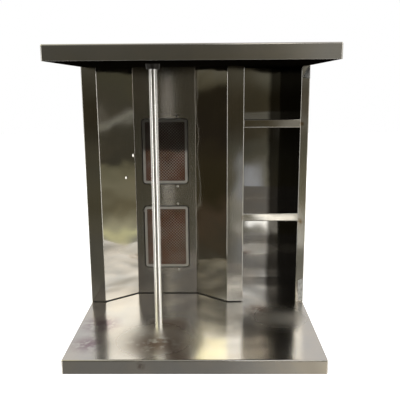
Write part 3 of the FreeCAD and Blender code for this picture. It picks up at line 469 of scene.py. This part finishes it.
tower_low, tower_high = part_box("left_side_panel")
foot_z, head_z = tower_low.z, tower_high.z
side_x, face_y, flange_y = 0.3, tower_low.y, tower_high.y
flange_run = 0.015
post_edge_x, wall_x, bay_x = -0.2605, 0.129, 0.2775
bay_back_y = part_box("bay_back_wall")[0].y
post_tone = (0.60, 0.59, 0.565)
post_steel = sheet_steel(
    "post_steel", post_tone, gloss=0.10, grain="Z", ripple=0.0032, ripple_size=4.0,
    tints=(((0.127, 0.046, 0.283), 0.010, straw),))
piece = folded_sheet("left_panel_sheet", [
    (flange_run - side_x, flange_y), (-side_x, flange_y), (-side_x, face_y),
    (post_edge_x, face_y)], "Z", (foot_z, head_z))
hang(piece, post_steel, "left_side_panel")
mid_left_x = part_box("middle_post")[0].x
piece = folded_sheet("middle_post_sheet", [
    (mid_left_x, face_y), (wall_x, face_y), (wall_x, bay_back_y)], "Z", (foot_z, head_z))
hang(piece, post_steel, "middle_post")


def on_bay_side(recipe):
    """The share of painted shade, a dark tone laid on the side that faces the bay, behind the
    post's front.
    """
    return recipe.axis("X").step(0.2800, 0.2790) * recipe.axis("Y").step(0.047, 0.050)


# Painted shade: the right panel's bay-facing side is darkened in its colour.
bay_shaded_steel = sheet_steel(
    "bay_shaded_steel", post_tone, gloss=0.10, grain="Z", ripple=0.0032, ripple_size=4.0,
    tints=(((0.282, 0.046, 0.270), 0.015, straw), ((0.281, 0.046, 0.538), 0.010, straw)),
    film=on_bay_side)
piece = folded_sheet("right_panel_sheet", [
    (bay_x, bay_back_y), (bay_x, face_y), (side_x, face_y), (side_x, flange_y),
    (side_x - flange_run, flange_y)], "Z", (foot_z, head_z))
hang(piece, bay_shaded_steel, "right_side_panel")

# ---- Reflectors and burner panel --------------------------------------------------------
# Two slanted sheets throw the heat forward on to the meat. The thin sheet is wavy and has
# two small dents. The flat panel between them is screwed to the burners' brackets.

panel_low, panel_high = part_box("burner_panel")
inner_y, outer_y = panel_high.y, face_y + sheet_gauge
joint = 0.012


def on_right_foot(recipe):
    """The share of painted shade, a dark tone laid low down on the right-hand reflector."""
    low_down = recipe.axis("Z") + (recipe.noise(recipe.place(), 15.0, 3.0) - 0.5) * 0.05
    return recipe.axis("X").step(-0.10, -0.05) * low_down.step(0.150, 0.105) * 0.55


# Painted shade: the right-hand reflector is darkened low down in its colour.
reflector_steel = sheet_steel(
    "reflector_steel", (0.62, 0.605, 0.575), gloss=0.050, grain="X", ripple=0.0036,
    ripple_size=5.5, dents=(((-0.176, 0.113, 0.448), 0.006), ((-0.196, 0.097, 0.387), 0.005)),
    film=on_right_foot)
piece = folded_sheet("left_reflector_sheet", [
    (post_edge_x - joint, outer_y), (post_edge_x, outer_y), (panel_low.x, inner_y),
    (panel_low.x + joint, inner_y)], "Z", (foot_z, head_z))
hang(piece, reflector_steel, "left_reflector")
piece = folded_sheet("right_reflector_sheet", [
    (panel_high.x - joint, inner_y), (panel_high.x, inner_y), (mid_left_x, outer_y),
    (mid_left_x + joint, outer_y)], "Z", (foot_z, head_z))
hang(piece, reflector_steel, "right_reflector")
panel_steel = sheet_steel(
    "panel_steel", (0.53, 0.52, 0.50), gloss=0.18, grain="Z", ripple=0.0040, ripple_size=5.0)
dress(panel_steel, "burner_panel")

# ---- Base seal --------------------------------------------------------------------------
# A hand-laid bead of black sealant closes the joint between the tower's front sheets and the
# base. It is about 2 mm thick and swells where the sheets meet.


def sealant():
    """High-temperature sealant: black, rubbery, smeared thin and greyed at its edges."""
    material, recipe = blank("sealant")
    smear = recipe.noise(recipe.place(), 120.0, 4.0)
    tone = recipe.blend(smear, (0.008, 0.008, 0.008), (0.035, 0.033, 0.030))
    finish(recipe, tone, 0.45 + smear * 0.3, 0.0, recipe.bump(smear, 0.0004))
    return material


bead = 0.0010
bead_ahead, bead_rise, bead_end = 0.0006, 0.8 * bead, 0.003
bead_y, bead_inner_y = face_y - bead_ahead, panel_low.y - bead_ahead
bead_corners = np.array([
    (-side_x + bead_end, bead_y), (post_edge_x, bead_y), (panel_low.x, bead_inner_y),
    (panel_high.x, bead_inner_y), (mid_left_x, bead_y), (wall_x - bead_end, bead_y)])
legs = np.linalg.norm(np.diff(bead_corners, axis=0), axis=1)
travel = np.concatenate([[0.0], np.cumsum(legs)])
run = np.linspace(0.0, travel[-1], 400)
bead_line = np.stack([
    np.interp(run, travel, bead_corners[:, 0]), np.interp(run, travel, bead_corners[:, 1]),
    np.full_like(run, foot_z + bead_rise)], -1)
# The bead swells and thins along its run, bulges at two joints, and runs out to nothing at
# its ends.
swell = 1.0 + 0.18 * np.sin(run * 310.0) + 0.12 * np.sin(run * 917.0)
swell += 1.5 * np.exp(-((run - legs[0]) / 0.004) ** 2)
swell += 0.8 * np.exp(-((run - travel[2]) / 0.003) ** 2)
swell *= np.sqrt(np.clip(np.minimum(run, travel[-1] - run) / 0.002, 0.0, 1.0))


def beaded(name, line, radii, sides=10):
    """A bead whose ring swells along its line, standing upright across the line's heading."""
    heading = np.gradient(line, axis=0)
    heading /= np.linalg.norm(heading, axis=1, keepdims=True)
    side = np.cross(heading, (0.0, 0.0, 1.0))
    angle = np.linspace(0.0, 2.0 * math.pi, sides, endpoint=False)
    ring = (np.cos(angle)[None, :, None] * side[:, None, :]
            + np.sin(angle)[None, :, None] * np.array([0.0, 0.0, 1.0]))
    points = line[:, None, :] + radii[:, None, None] * ring
    count = len(line)
    index = np.arange(count * sides).reshape(count, sides)
    after = np.roll(index, -1, 1)
    quads = np.stack([index[:-1], after[:-1], after[1:], index[1:]], -1)
    return merged_piece(name, points.reshape(-1, 3), [quads], 0.0)


hang(beaded("sealant_bead", bead_line, bead * swell), sealant(), "base_seal")

# ---- Shelf bay --------------------------------------------------------------------------
# The bay's back wall is bright rolled sheet. Two shelves with folded front lips are welded
# between its sides; their lips are the brightest sheet on the machine.


def on_bay_back(recipe):
    """The share of painted shade, a dark tone laid over the right part of the back wall, its edge
    slightly ragged.
    """
    ragged = recipe.axis("X") + (recipe.noise(recipe.place(), 12.0, 2.0) - 0.5) * 0.02
    return ragged.step(0.208, 0.226) * 0.92


# Painted shade: the right part of the back wall is darkened in its colour.
bay_steel = sheet_steel(
    "bay_steel", (0.62, 0.625, 0.63), gloss=0.06, grain="Z", ripple=0.0035, ripple_size=4.0,
    film=on_bay_back)
dress(bay_steel, "bay_back_wall")
shelf_steel = sheet_steel(
    "shelf_steel", (0.74, 0.725, 0.69), gloss=0.075, grain="X", ripple=0.0010, ripple_size=9.0)
for level in ("upper_shelf", "lower_shelf"):
    low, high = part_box(level)
    hem = low.y + 0.008
    piece = folded_sheet(level + "_sheet", [
        (high.y, high.z - 0.015), (high.y, high.z), (low.y, high.z), (low.y, low.z),
        (hem, low.z)], "X", (low.x, high.x))
    hang(piece, shelf_steel, level)

# ---- Burner boxes and gas train ---------------------------------------------------------
# Behind the panel each burner has an aluminised box, a mixing tube and a brass jet. Valves
# on a steel manifold feed them through bright tube.


def aluminised():
    """Aluminised sheet: pale, soft grey, mottled where the burners have heated it."""
    material, recipe = blank("aluminised_sheet")
    mottle = recipe.noise(recipe.place(), 25.0, 4.0)
    tone = recipe.blend(mottle, (0.38, 0.37, 0.35), (0.58, 0.57, 0.55))
    finish(recipe, tone, 0.38 + mottle * 0.2, 0.9, recipe.bump(mottle, 0.0002))
    return material


def turned_brass():
    """Turned brass: warm yellow, darkened in its recesses by handling."""
    material, recipe = blank("turned_brass")
    tarnish = recipe.noise(recipe.place(), 70.0, 4.0)
    rings = recipe.noise(recipe.place(stretch=(1.0, 30.0, 1.0)), 60.0, 1.0)
    tone = recipe.blend(tarnish, (0.50, 0.36, 0.14), (0.80, 0.62, 0.30))
    finish(recipe, tone, 0.22 + tarnish * 0.2, 1.0, recipe.bump(rings, 0.00006))
    return material


def moulded_phenolic():
    """Black phenolic: a deep gloss skin with fine scuffs."""
    material, recipe = blank("moulded_phenolic")
    scuffs = recipe.noise(recipe.place(), 220.0, 4.0)
    tone = recipe.blend(scuffs, (0.010, 0.010, 0.011), (0.030, 0.029, 0.028))
    finish(recipe, tone, 0.22 + scuffs * 0.2, 0.0, recipe.bump(scuffs, 0.00004))
    return material


aluminised_sheet = aluminised()
brass = turned_brass()
phenolic = moulded_phenolic()
for level in ("upper", "lower"):
    dress(aluminised_sheet, level + "_plenum", level + "_mixing_tube")
    dress(zinc, level + "_burner_brackets")
    dress(brass, level + "_gas_jet", level + "_valve_body", level + "_valve_stem")
    dress(aluminised_sheet, level + "_supply_tube")
    dress(phenolic, level + "_valve_knob")
dress(zinc, "manifold_pipe", "inlet_elbow")
dress(brass, "inlet_locknut")

# ---- Burner fronts ----------------------------------------------------------------------
# Each burner shows a satin pressed frame, a woven wire screen darkened by heat, and porous
# red-brown ceramic tiles behind it. The canopy's shadow is painted as dark colour over the top
# third of the upper burner.


def canopy_shadow_share(recipe):
    """The share of painted shadow: the canopy's shadow, laid as dark colour over the top third of
    the upper burner.
    """
    ragged = recipe.axis("Z") + (recipe.noise(recipe.place(), 40.0, 3.0) - 0.5) * 0.012
    return ragged.step(0.452, 0.468)


def ceramic():
    """Fired ceramic: red-brown, darkened by soot in patches, with rows of fine flame holes."""
    material, recipe = blank("burner_ceramic")
    where = recipe.place()
    soot = recipe.noise(where, 28.0, 4.0)
    holes = Reading(recipe, recipe.add(
        "ShaderNodeTexVoronoi", {"feature": "F1"},
        {"Vector": where, "Scale": 520.0, "Randomness": 0.15}).outputs[0])
    pores = holes.step(0.30, 0.42)
    fired = recipe.blend(soot.step(0.35, 0.7), (0.100, 0.016, 0.007), (0.045, 0.011, 0.006))
    tone = recipe.blend(pores, (0.020, 0.010, 0.008), fired)
    # Painted shadow: the canopy's shadow darkens the tiles over the top of the upper burner.
    tone = recipe.blend(canopy_shadow_share(recipe) * 0.85, tone, (0.010, 0.009, 0.008))
    finish(recipe, tone, 0.85 + soot * 0.1, 0.0, recipe.bump(pores, 0.0004))
    return material


def satin_frame():
    """Pressed frame: satin stainless with a straw heat tint and handling marks."""
    material, recipe = blank("satin_frame")
    where = recipe.place()
    marks = recipe.noise(where, 55.0, 4.0)
    grit = recipe.noise(where, 800.0, 2.0)
    tone = recipe.blend(marks, (0.44, 0.425, 0.40), (0.60, 0.58, 0.55))
    # Painted shadow: the canopy's shadow darkens the frame over the top of the upper burner.
    tone = recipe.blend(canopy_shadow_share(recipe) * 0.75, tone, (0.060, 0.057, 0.052))
    finish(recipe, tone, 0.36 + marks * 0.12, 0.7, recipe.bump(grit, 0.00004))
    return material


tile_ceramic = ceramic()
frame_steel = satin_frame()


def rods(name, lines, radius, sides=6):
    """Round wires along given lines.

    Each line is a row of points. A ring of the given radius stands across the line's heading
    at every point; the first spoke is the heading crossed with the fixed forward direction.
    """
    lines = np.asarray(lines)
    heading = np.gradient(lines, axis=1)
    heading /= np.linalg.norm(heading, axis=2, keepdims=True)
    first = np.cross(heading, (0.0, 1.0, 0.0))
    first /= np.linalg.norm(first, axis=2, keepdims=True)
    second = np.cross(heading, first)
    angle = np.linspace(0.0, 2.0 * math.pi, sides, endpoint=False)
    ring = (np.cos(angle)[:, None] * first[:, :, None, :]
            + np.sin(angle)[:, None] * second[:, :, None, :])
    points = lines[:, :, None, :] + radius * ring
    wires, count = lines.shape[:2]
    index = np.arange(wires * count * sides).reshape(wires, count, sides)
    after = np.roll(index, -1, 2)
    quads = np.stack([
        index[:, :-1], after[:, :-1], after[:, 1:], index[:, 1:]], -1).reshape(-1, 4)
    caps = np.concatenate([index[:, 0, ::-1], index[:, -1]])
    mesh = bpy.data.meshes.new(name)
    mesh.from_pydata(points.reshape(-1, 3).tolist(), [], quads.tolist() + caps.tolist())
    build = bmesh.new()
    build.from_mesh(mesh)
    bmesh.ops.recalc_face_normals(build, faces=build.faces)
    build.to_mesh(mesh)
    build.free()
    return smooth_piece(name, mesh)


def woven_lines(low, high, spacing, weave, steps=72):
    """Centre lines of two families of wires woven at right angles across a rectangle.

    A wire lies a whole number of spacings and a half from the middle, measured across its
    own heading at 45 degrees, and runs between the two sides that it meets first. It weaves
    by a sine of half a turn per crossing, and its neighbours and crossers take the opposite
    half.
    """
    middle = np.array([(low.x + high.x) / 2.0, (low.z + high.z) / 2.0])
    half = np.array([(high.x - low.x) / 2.0, (high.z - low.z) / 2.0])
    level = (low.y + high.y) / 2.0
    reach = (half[0] + half[1]) / math.sqrt(2.0)
    count = int(reach / spacing)
    lines = []
    for slope in (1.0, -1.0):
        ahead = np.array([1.0, slope]) / math.sqrt(2.0)
        across = np.array([-slope, 1.0]) / math.sqrt(2.0)
        for number in range(-count, count + 1):
            origin = across * (number + 0.5) * spacing
            sides = np.sign(ahead) * half * np.array([[1.0], [-1.0]])
            ends = np.sort((sides - origin) / ahead, 0)
            begin, finish_at = ends[0].max(), ends[1].min()
            if finish_at - begin < spacing:
                continue
            run = np.linspace(begin, finish_at, steps)
            phase = run / spacing + (0.5 if slope > 0 else -0.5) + number
            lift = weave * np.sin(math.pi * phase) * slope
            spot = middle + origin + ahead * run[:, None]
            lines.append(np.stack([spot[:, 0], level + lift, spot[:, 1]], -1))
    return lines


def screen_wire():
    """Drawn stainless wire: grey, scorched brown in patches where the tiles glow behind."""
    material, recipe = blank("screen_wire")
    scorch = recipe.noise(recipe.place(), 22.0, 4.0)
    grit = recipe.noise(recipe.place(), 700.0, 2.0)
    tone = recipe.blend(scorch.step(0.35, 0.65), (0.54, 0.49, 0.43), (0.34, 0.23, 0.16))
    # Painted shadow: the canopy's shadow darkens the wire over the top of the upper burner.
    tone = recipe.blend(canopy_shadow_share(recipe) * 0.80, tone, (0.050, 0.047, 0.042))
    finish(recipe, tone, 0.26 + scorch * 0.15, 0.88, recipe.bump(grit, 0.00003))
    return material


wire_steel = screen_wire()
wire_spacing, wire_radius, wire_weave = 0.0059, 0.00050, 0.00045
for level in ("upper", "lower"):
    dress(tile_ceramic, level + "_ceramic_tiles")
    dress(frame_steel, level + "_burner_frame")
    low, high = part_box(level + "_burner_screen")
    lines = woven_lines(low, high, wire_spacing, wire_weave)
    piece = rods(level + "_woven_screen", lines, wire_radius)
    hang(piece, wire_steel, level + "_burner_screen")
dress(frame_steel, "burner_screws", "cover_screws")

# ---- Rear cover -------------------------------------------------------------------------
# A flat sheet with two columns of air slots is screwed over the back of the tower. Its
# finish is duller than that of the front.

cover_steel = sheet_steel(
    "cover_steel", (0.60, 0.59, 0.57), gloss=0.26, grain="X", ripple=0.0020, ripple_size=4.0)
dress(cover_steel, "rear_cover")

# ---- Canopy and soffit ------------------------------------------------------------------
# The canopy is one polished sheet folded like the base, and it overhangs as far. A flat
# tray closes it underneath; it is painted near black, without specular reflection, as painted
# shade.

low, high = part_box("canopy")
canopy = rolled_tray("canopy_sheet", low, high, high.z - low.z, fold_radius, plate_dish)
canopy_steel = sheet_steel(
    "canopy_steel", (0.62, 0.61, 0.585), gloss=0.14, grain="X", ripple=0.0030, ripple_size=4.0)
canopy.data.materials.append(canopy_steel)
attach(canopy, "cabinet")
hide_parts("canopy")


def shade_black_sheet():
    """Near-black matt sheet with an uneven crust and no specular reflection: painted shade under
    the canopy.
    """
    material, recipe = blank("shade_black_soffit")
    crust = recipe.noise(recipe.place(), 30.0, 5.0, 0.6)
    tone = recipe.blend(crust, (0.006, 0.005, 0.004), (0.020, 0.016, 0.012))
    finish(recipe, tone, 0.75 + crust * 0.2, 0.0, recipe.bump(crust, 0.0003),
           Specular_IOR_Level=0.0)
    return material


# Painted shade: the soffit tray is coloured near black and shows no reflection.
dress(shade_black_sheet(), "soffit_tray")

# ---- Spit -------------------------------------------------------------------------------
# One bright drawn bar runs from a black collar in the soffit to the socket under the base.
# Lifted a little, its square foot comes free of the socket.


def black_collar():
    """Oil-blackened steel: nearly black, satin, rubbed brown where the bar is pulled out."""
    material, recipe = blank("black_collar")
    rub = recipe.noise(recipe.place(), 80.0, 3.0)
    tone = recipe.blend(rub, (0.010, 0.010, 0.010), (0.040, 0.034, 0.028))
    finish(recipe, tone, 0.40 + rub * 0.15, 0.6, recipe.bump(rub, 0.0001))
    return material


def drawn_bar():
    """Drawn bar: bright, with fine rings from polishing that draw lights out lengthwise."""
    material, recipe = blank("drawn_bar")
    rings = recipe.noise(recipe.place(stretch=(1.0, 1.0, 400.0)), 6.0, 2.0)
    wear = recipe.noise(recipe.place(), 18.0, 4.0)
    tone = recipe.blend(wear, (0.78, 0.77, 0.75), (0.90, 0.89, 0.88))
    finish(recipe, tone, 0.20 + wear * 0.06, 1.0, recipe.bump(rings, 0.00002),
           Anisotropic=1.0, Anisotropic_Rotation=0.25)
    return material


dress(black_collar(), "spit_bush")
dress(drawn_bar(), "spit_rod")

# ---- Protective film --------------------------------------------------------------------
# Scraps of the white film that the sheet was delivered in still cling to the right post: a
# lifted triangle under the canopy and a wrinkled strip at the foot.


film_gap, film_gauge = 0.0002, 0.00008


def film_scrap(name, corners, lift, wrinkle):
    """A scrap of film: a grid stretched over four corners.

    The grid is the corners blended across and along. It stands off the post by the lift
    times the square of its share along, plus small wrinkles of two crossed sines.
    """
    count = 25
    share = np.linspace(0.0, 1.0, count)
    across, along = np.meshgrid(share, share)
    a, b, c, d = (np.asarray(corner, float) for corner in corners)
    spot = ((1 - across)[..., None] * ((1 - along)[..., None] * a + along[..., None] * d)
            + across[..., None] * ((1 - along)[..., None] * b + along[..., None] * c))
    ripple = wrinkle * np.sin(19.0 * across + 7.0 * along) * np.sin(11.0 * along + 3.0 * across)
    y = face_y - film_gap - lift * along ** 2 - np.abs(ripple)
    points = np.stack([spot[..., 0], y, spot[..., 1]], -1).reshape(-1, 3)
    index = np.arange(count * count).reshape(count, count)
    quads = grid_quads(index)
    return merged_piece(name, points, [quads], film_gauge)


def white_film():
    """Thin polythene film: milky, half clear, creased brighter."""
    material, recipe = blank("white_film")
    crease = recipe.noise(recipe.place(), 160.0, 4.0, 0.7)
    tone = recipe.blend(crease, (0.55, 0.55, 0.54), (0.85, 0.85, 0.84))
    cloud = recipe.noise(recipe.place(), 70.0, 3.0).step(0.3, 0.7) * 0.4 + 0.35
    finish(recipe, tone, 0.30 + crease * 0.2, 0.0, recipe.bump(crease, 0.0006),
           Alpha=cloud)
    return material


film = white_film()
scraps = [
    film_scrap("film_triangle", [
        (0.2950, 0.686), (0.2990, 0.686), (0.2992, 0.655), (0.2790, 0.658)], 0.004, 0.0006),
    film_scrap("film_strip", [
        (0.2840, 0.100), (0.2980, 0.106), (0.2982, 0.042), (0.2860, 0.040)], 0.001, 0.0009)]
for scrap in scraps:
    scrap.data.materials.append(film)
    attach(scrap, "cabinet")

# ---- Studio -----------------------------------------------------------------------------
# A pale floor and a pale surround, a dim room for the polished sheets to mirror, soft boxes
# in front, above and behind, and one camera in front at chest height.

floor_half = 6.0
floor_mesh = bpy.data.meshes.new("studio_floor")
floor_mesh.from_pydata(
    [(-floor_half, -floor_half, 0), (floor_half, -floor_half, 0),
     (floor_half, floor_half, 0), (-floor_half, floor_half, 0)], [], [(0, 1, 2, 3)])
floor = bpy.data.objects.new("studio_floor", floor_mesh)
bpy.context.scene.collection.objects.link(floor)
floor_paint, recipe = blank("floor_paint")
finish(recipe, (0.9, 0.9, 0.9), 0.9,
       Emission_Color=(1.0, 1.0, 1.0, 1.0), Emission_Strength=0.94)
floor_mesh.materials.append(floor_paint)
floor.visible_glossy = False
floor.visible_diffuse = False


def room(recipe):
    """The room that polished sheet mirrors, by angle round from the front and up from level.

    In front, to the left and to the right it is olive gloom in level bands, paler low down.
    Above the gloom both sides have wide windows. Two tall pale walls stand half-way to the
    sides, behind the machine the room is light, and a few small panels stand in front.
    """
    heading = recipe.add("ShaderNodeTexCoord").outputs["Generated"]
    split = recipe.add("ShaderNodeSeparateXYZ", None, {0: heading})
    x, y, z = (Reading(recipe, output) for output in split.outputs)
    around = x.math("ARCTAN2", 0.0 - y) * (180.0 / math.pi)
    height = z.math("ARCSINE") * (180.0 / math.pi)

    below, span = 32.0, 80.0

    def bands(stops):
        """Colours in thousandths at rising heights, in degrees above or below level."""
        ramp = recipe.add("ShaderNodeValToRGB", {"stops": [
            ((angle + below) / span, tuple(part / 1000.0 for part in colour))
            for angle, colour in stops]}, {0: (height + below) / span})
        return ramp.outputs[0]

    frontwards = bands([
        (-29, (205, 200, 188)), (-22, (185, 172, 150)), (-20, (142, 136, 113)),
        (-17, (104, 98, 78)), (-14.3, (118, 106, 72)), (-13.2, (74, 64, 36)),
        (-11, (106, 94, 59)), (-8, (84, 78, 54)), (-5.5, (53, 49, 35)),
        (-4, (38, 31, 18)), (-0.5, (38, 31, 17)), (1.0, (84, 77, 54)),
        (3.4, (100, 94, 76)), (8, (110, 102, 90)), (18, (170, 160, 145)),
        (28, (230, 215, 200)), (48, (350, 345, 335))])
    rightwards = bands([
        (-29, (300, 290, 240)), (-17, (320, 305, 260)), (-15.4, (800, 780, 440)),
        (-14.7, (450, 425, 300)), (-13.6, (240, 220, 145)), (-12.4, (155, 135, 80)),
        (-10.5, (245, 225, 150)), (-8.3, (190, 175, 110)), (-7.3, (60, 54, 38)),
        (-4.4, (66, 60, 42)), (-3.8, (330, 320, 270)), (-3.1, (70, 62, 45)),
        (2, (76, 72, 46)), (15, (300, 290, 250)), (19, (1700, 1680, 1610)),
        (24, (2300, 2270, 2160)), (36, (2600, 2540, 2350)), (48, (500, 490, 470))])
    leftwards = bands([
        (-29, (140, 132, 105)), (-20, (66, 63, 48)), (-16, (60, 50, 33)),
        (-13.5, (78, 56, 35)), (-12.6, (50, 38, 22)), (-11.5, (33, 27, 13)),
        (-7.5, (35, 28, 15)), (-5.5, (23, 18, 12)), (-0.5, (22, 18, 10)),
        (0.6, (100, 90, 58)), (2.5, (165, 155, 118)), (15, (120, 110, 80)),
        (24.0, (150, 140, 115)), (26.5, (3200, 3120, 2900)), (28.5, (3200, 3080, 2600)),
        (30.5, (3400, 3250, 1800)), (37, (2400, 2300, 1450)), (48, (900, 860, 560))])
    gain = around.step(-3.0, 15.0) + 1.0
    brighter = recipe.add("ShaderNodeVectorMath", {"operation": "SCALE"}, {
        0: frontwards, 3: gain}).outputs[0]
    shade = recipe.blend(around.step(22.0, 44.0), brighter, rightwards)
    shade = recipe.blend(around.step(-20.0, -44.0), shade, leftwards)
    side = abs(around + 2.0)
    tall = (side.step(38.0, 41.0) * side.step(64.0, 60.0)
            + side.step(84.0, 87.0) * side.step(110.0, 104.0) * 0.4) * height.step(13.0, 8.0)
    shade = recipe.blend(tall, shade, (2.30, 2.26, 2.18))
    back = abs(around).step(98.0, 128.0)
    shade = recipe.blend(back, shade, (0.72, 0.70, 0.68))

    def patch(middle, half, soft):
        """A soft-edged panel round one direction."""
        inside_wide = (abs(around - middle[0]) - half[0]).step(soft, -soft)
        inside_high = (abs(height - middle[1]) - half[1]).step(soft, -soft)
        return inside_wide * inside_high

    panels = [
        ((7.1, -13.6), (2.5, 0.7), 0.4, (2.10, 2.04, 1.90)),
        ((10.2, -14.6), (0.7, 1.0), 0.5, (0.75, 0.72, 0.64)),
        ((6.3, 29.6), (5.2, 5.0), 0.9, (3.20, 3.13, 2.94)),
        ((9.0, -4.0), (1.6, 0.7), 0.5, (0.30, 0.29, 0.26)),
        ((5.0, -10.0), (1.35, 2.1), 0.25, (0.39, 0.40, 0.42)),
        ((5.0, -17.0), (1.35, 1.6), 0.25, (0.33, 0.33, 0.34)),
        ((13.5, 3.0), (3.5, 3.0), 2.0, (0.32, 0.31, 0.28)),
        ((17.0, -29.0), (6.0, 5.0), 3.5, (0.85, 0.76, 0.58)),
    ]
    for middle, half, soft, colour in panels:
        shade = recipe.blend(patch(middle, half, soft), shade, colour)
    return shade


world = bpy.data.worlds.new("studio")
bpy.context.scene.world = world
world.use_nodes = True
recipe = Recipe(world.node_tree)
path = recipe.add("ShaderNodeLightPath")
seen = Reading(recipe, path.outputs["Is Camera Ray"])
scattered = Reading(recipe, path.outputs["Is Diffuse Ray"])
sky = recipe.blend(scattered, room(recipe), (0.05, 0.05, 0.048))
sky = recipe.blend(seen, sky, (1.0, 1.0, 1.0))
background = recipe.add("ShaderNodeBackground", None, {"Color": sky, "Strength": 1.0})
recipe.add("ShaderNodeOutputWorld", None, {0: background.outputs[0]})


def soft_box(name, place, target, size, power, colour):
    """An area light turned to face a point."""
    lamp = bpy.data.lights.new(name, "AREA")
    lamp.shape = "RECTANGLE"
    lamp.size, lamp.size_y = size
    lamp.energy = power
    lamp.color = colour
    box = bpy.data.objects.new(name, lamp)
    facing = Vector(target) - Vector(place)
    turned = facing.to_track_quat("-Z", "Y").to_matrix().to_4x4()
    box.matrix_world = Matrix.Translation(place) @ turned
    box.visible_glossy = False
    bpy.context.scene.collection.objects.link(box)


warm_white, white = (1.0, 0.98, 0.94), (1.0, 1.0, 1.0)
soft_box("key_box", place=(0.2, -2.9, 2.13), target=(0.0, 0.1, 0.45), size=(1.6, 0.10),
         power=60.0, colour=warm_white)
soft_box("top_box", place=(0.0, 0.4, 3.0), target=(0.0, 0.0, 0.0), size=(2.5, 2.5),
         power=20.0, colour=white)
soft_box("back_box", place=(0.8, 3.0, 1.6), target=(0.0, 0.2, 0.35), size=(1.6, 1.2),
         power=40.0, colour=white)

camera_data = bpy.data.cameras.new("studio_camera")
camera_data.sensor_width = 36.0
camera_data.lens = 49.3
camera_data.shift_x = -0.0022
camera = bpy.data.objects.new("studio_camera", camera_data)
bpy.context.scene.collection.objects.link(camera)
camera_place = (0.0331, -1.4207, 0.639)
pitch, yaw, roll = 0.206, -0.014, 0.007
ahead = Vector((
    math.sin(yaw) * math.cos(pitch), math.cos(yaw) * math.cos(pitch), -math.sin(pitch)))
level = Vector((math.cos(yaw), -math.sin(yaw), 0.0))
down = ahead.cross(level)
right = math.cos(roll) * level + math.sin(roll) * down
above = -(-math.sin(roll) * level + math.cos(roll) * down)
turned = Matrix((right, above, -ahead)).transposed().to_4x4()
camera.matrix_world = Matrix.Translation(camera_place) @ turned
bpy.context.scene.camera = camera
bpy.context.scene.view_settings.view_transform = "Standard"
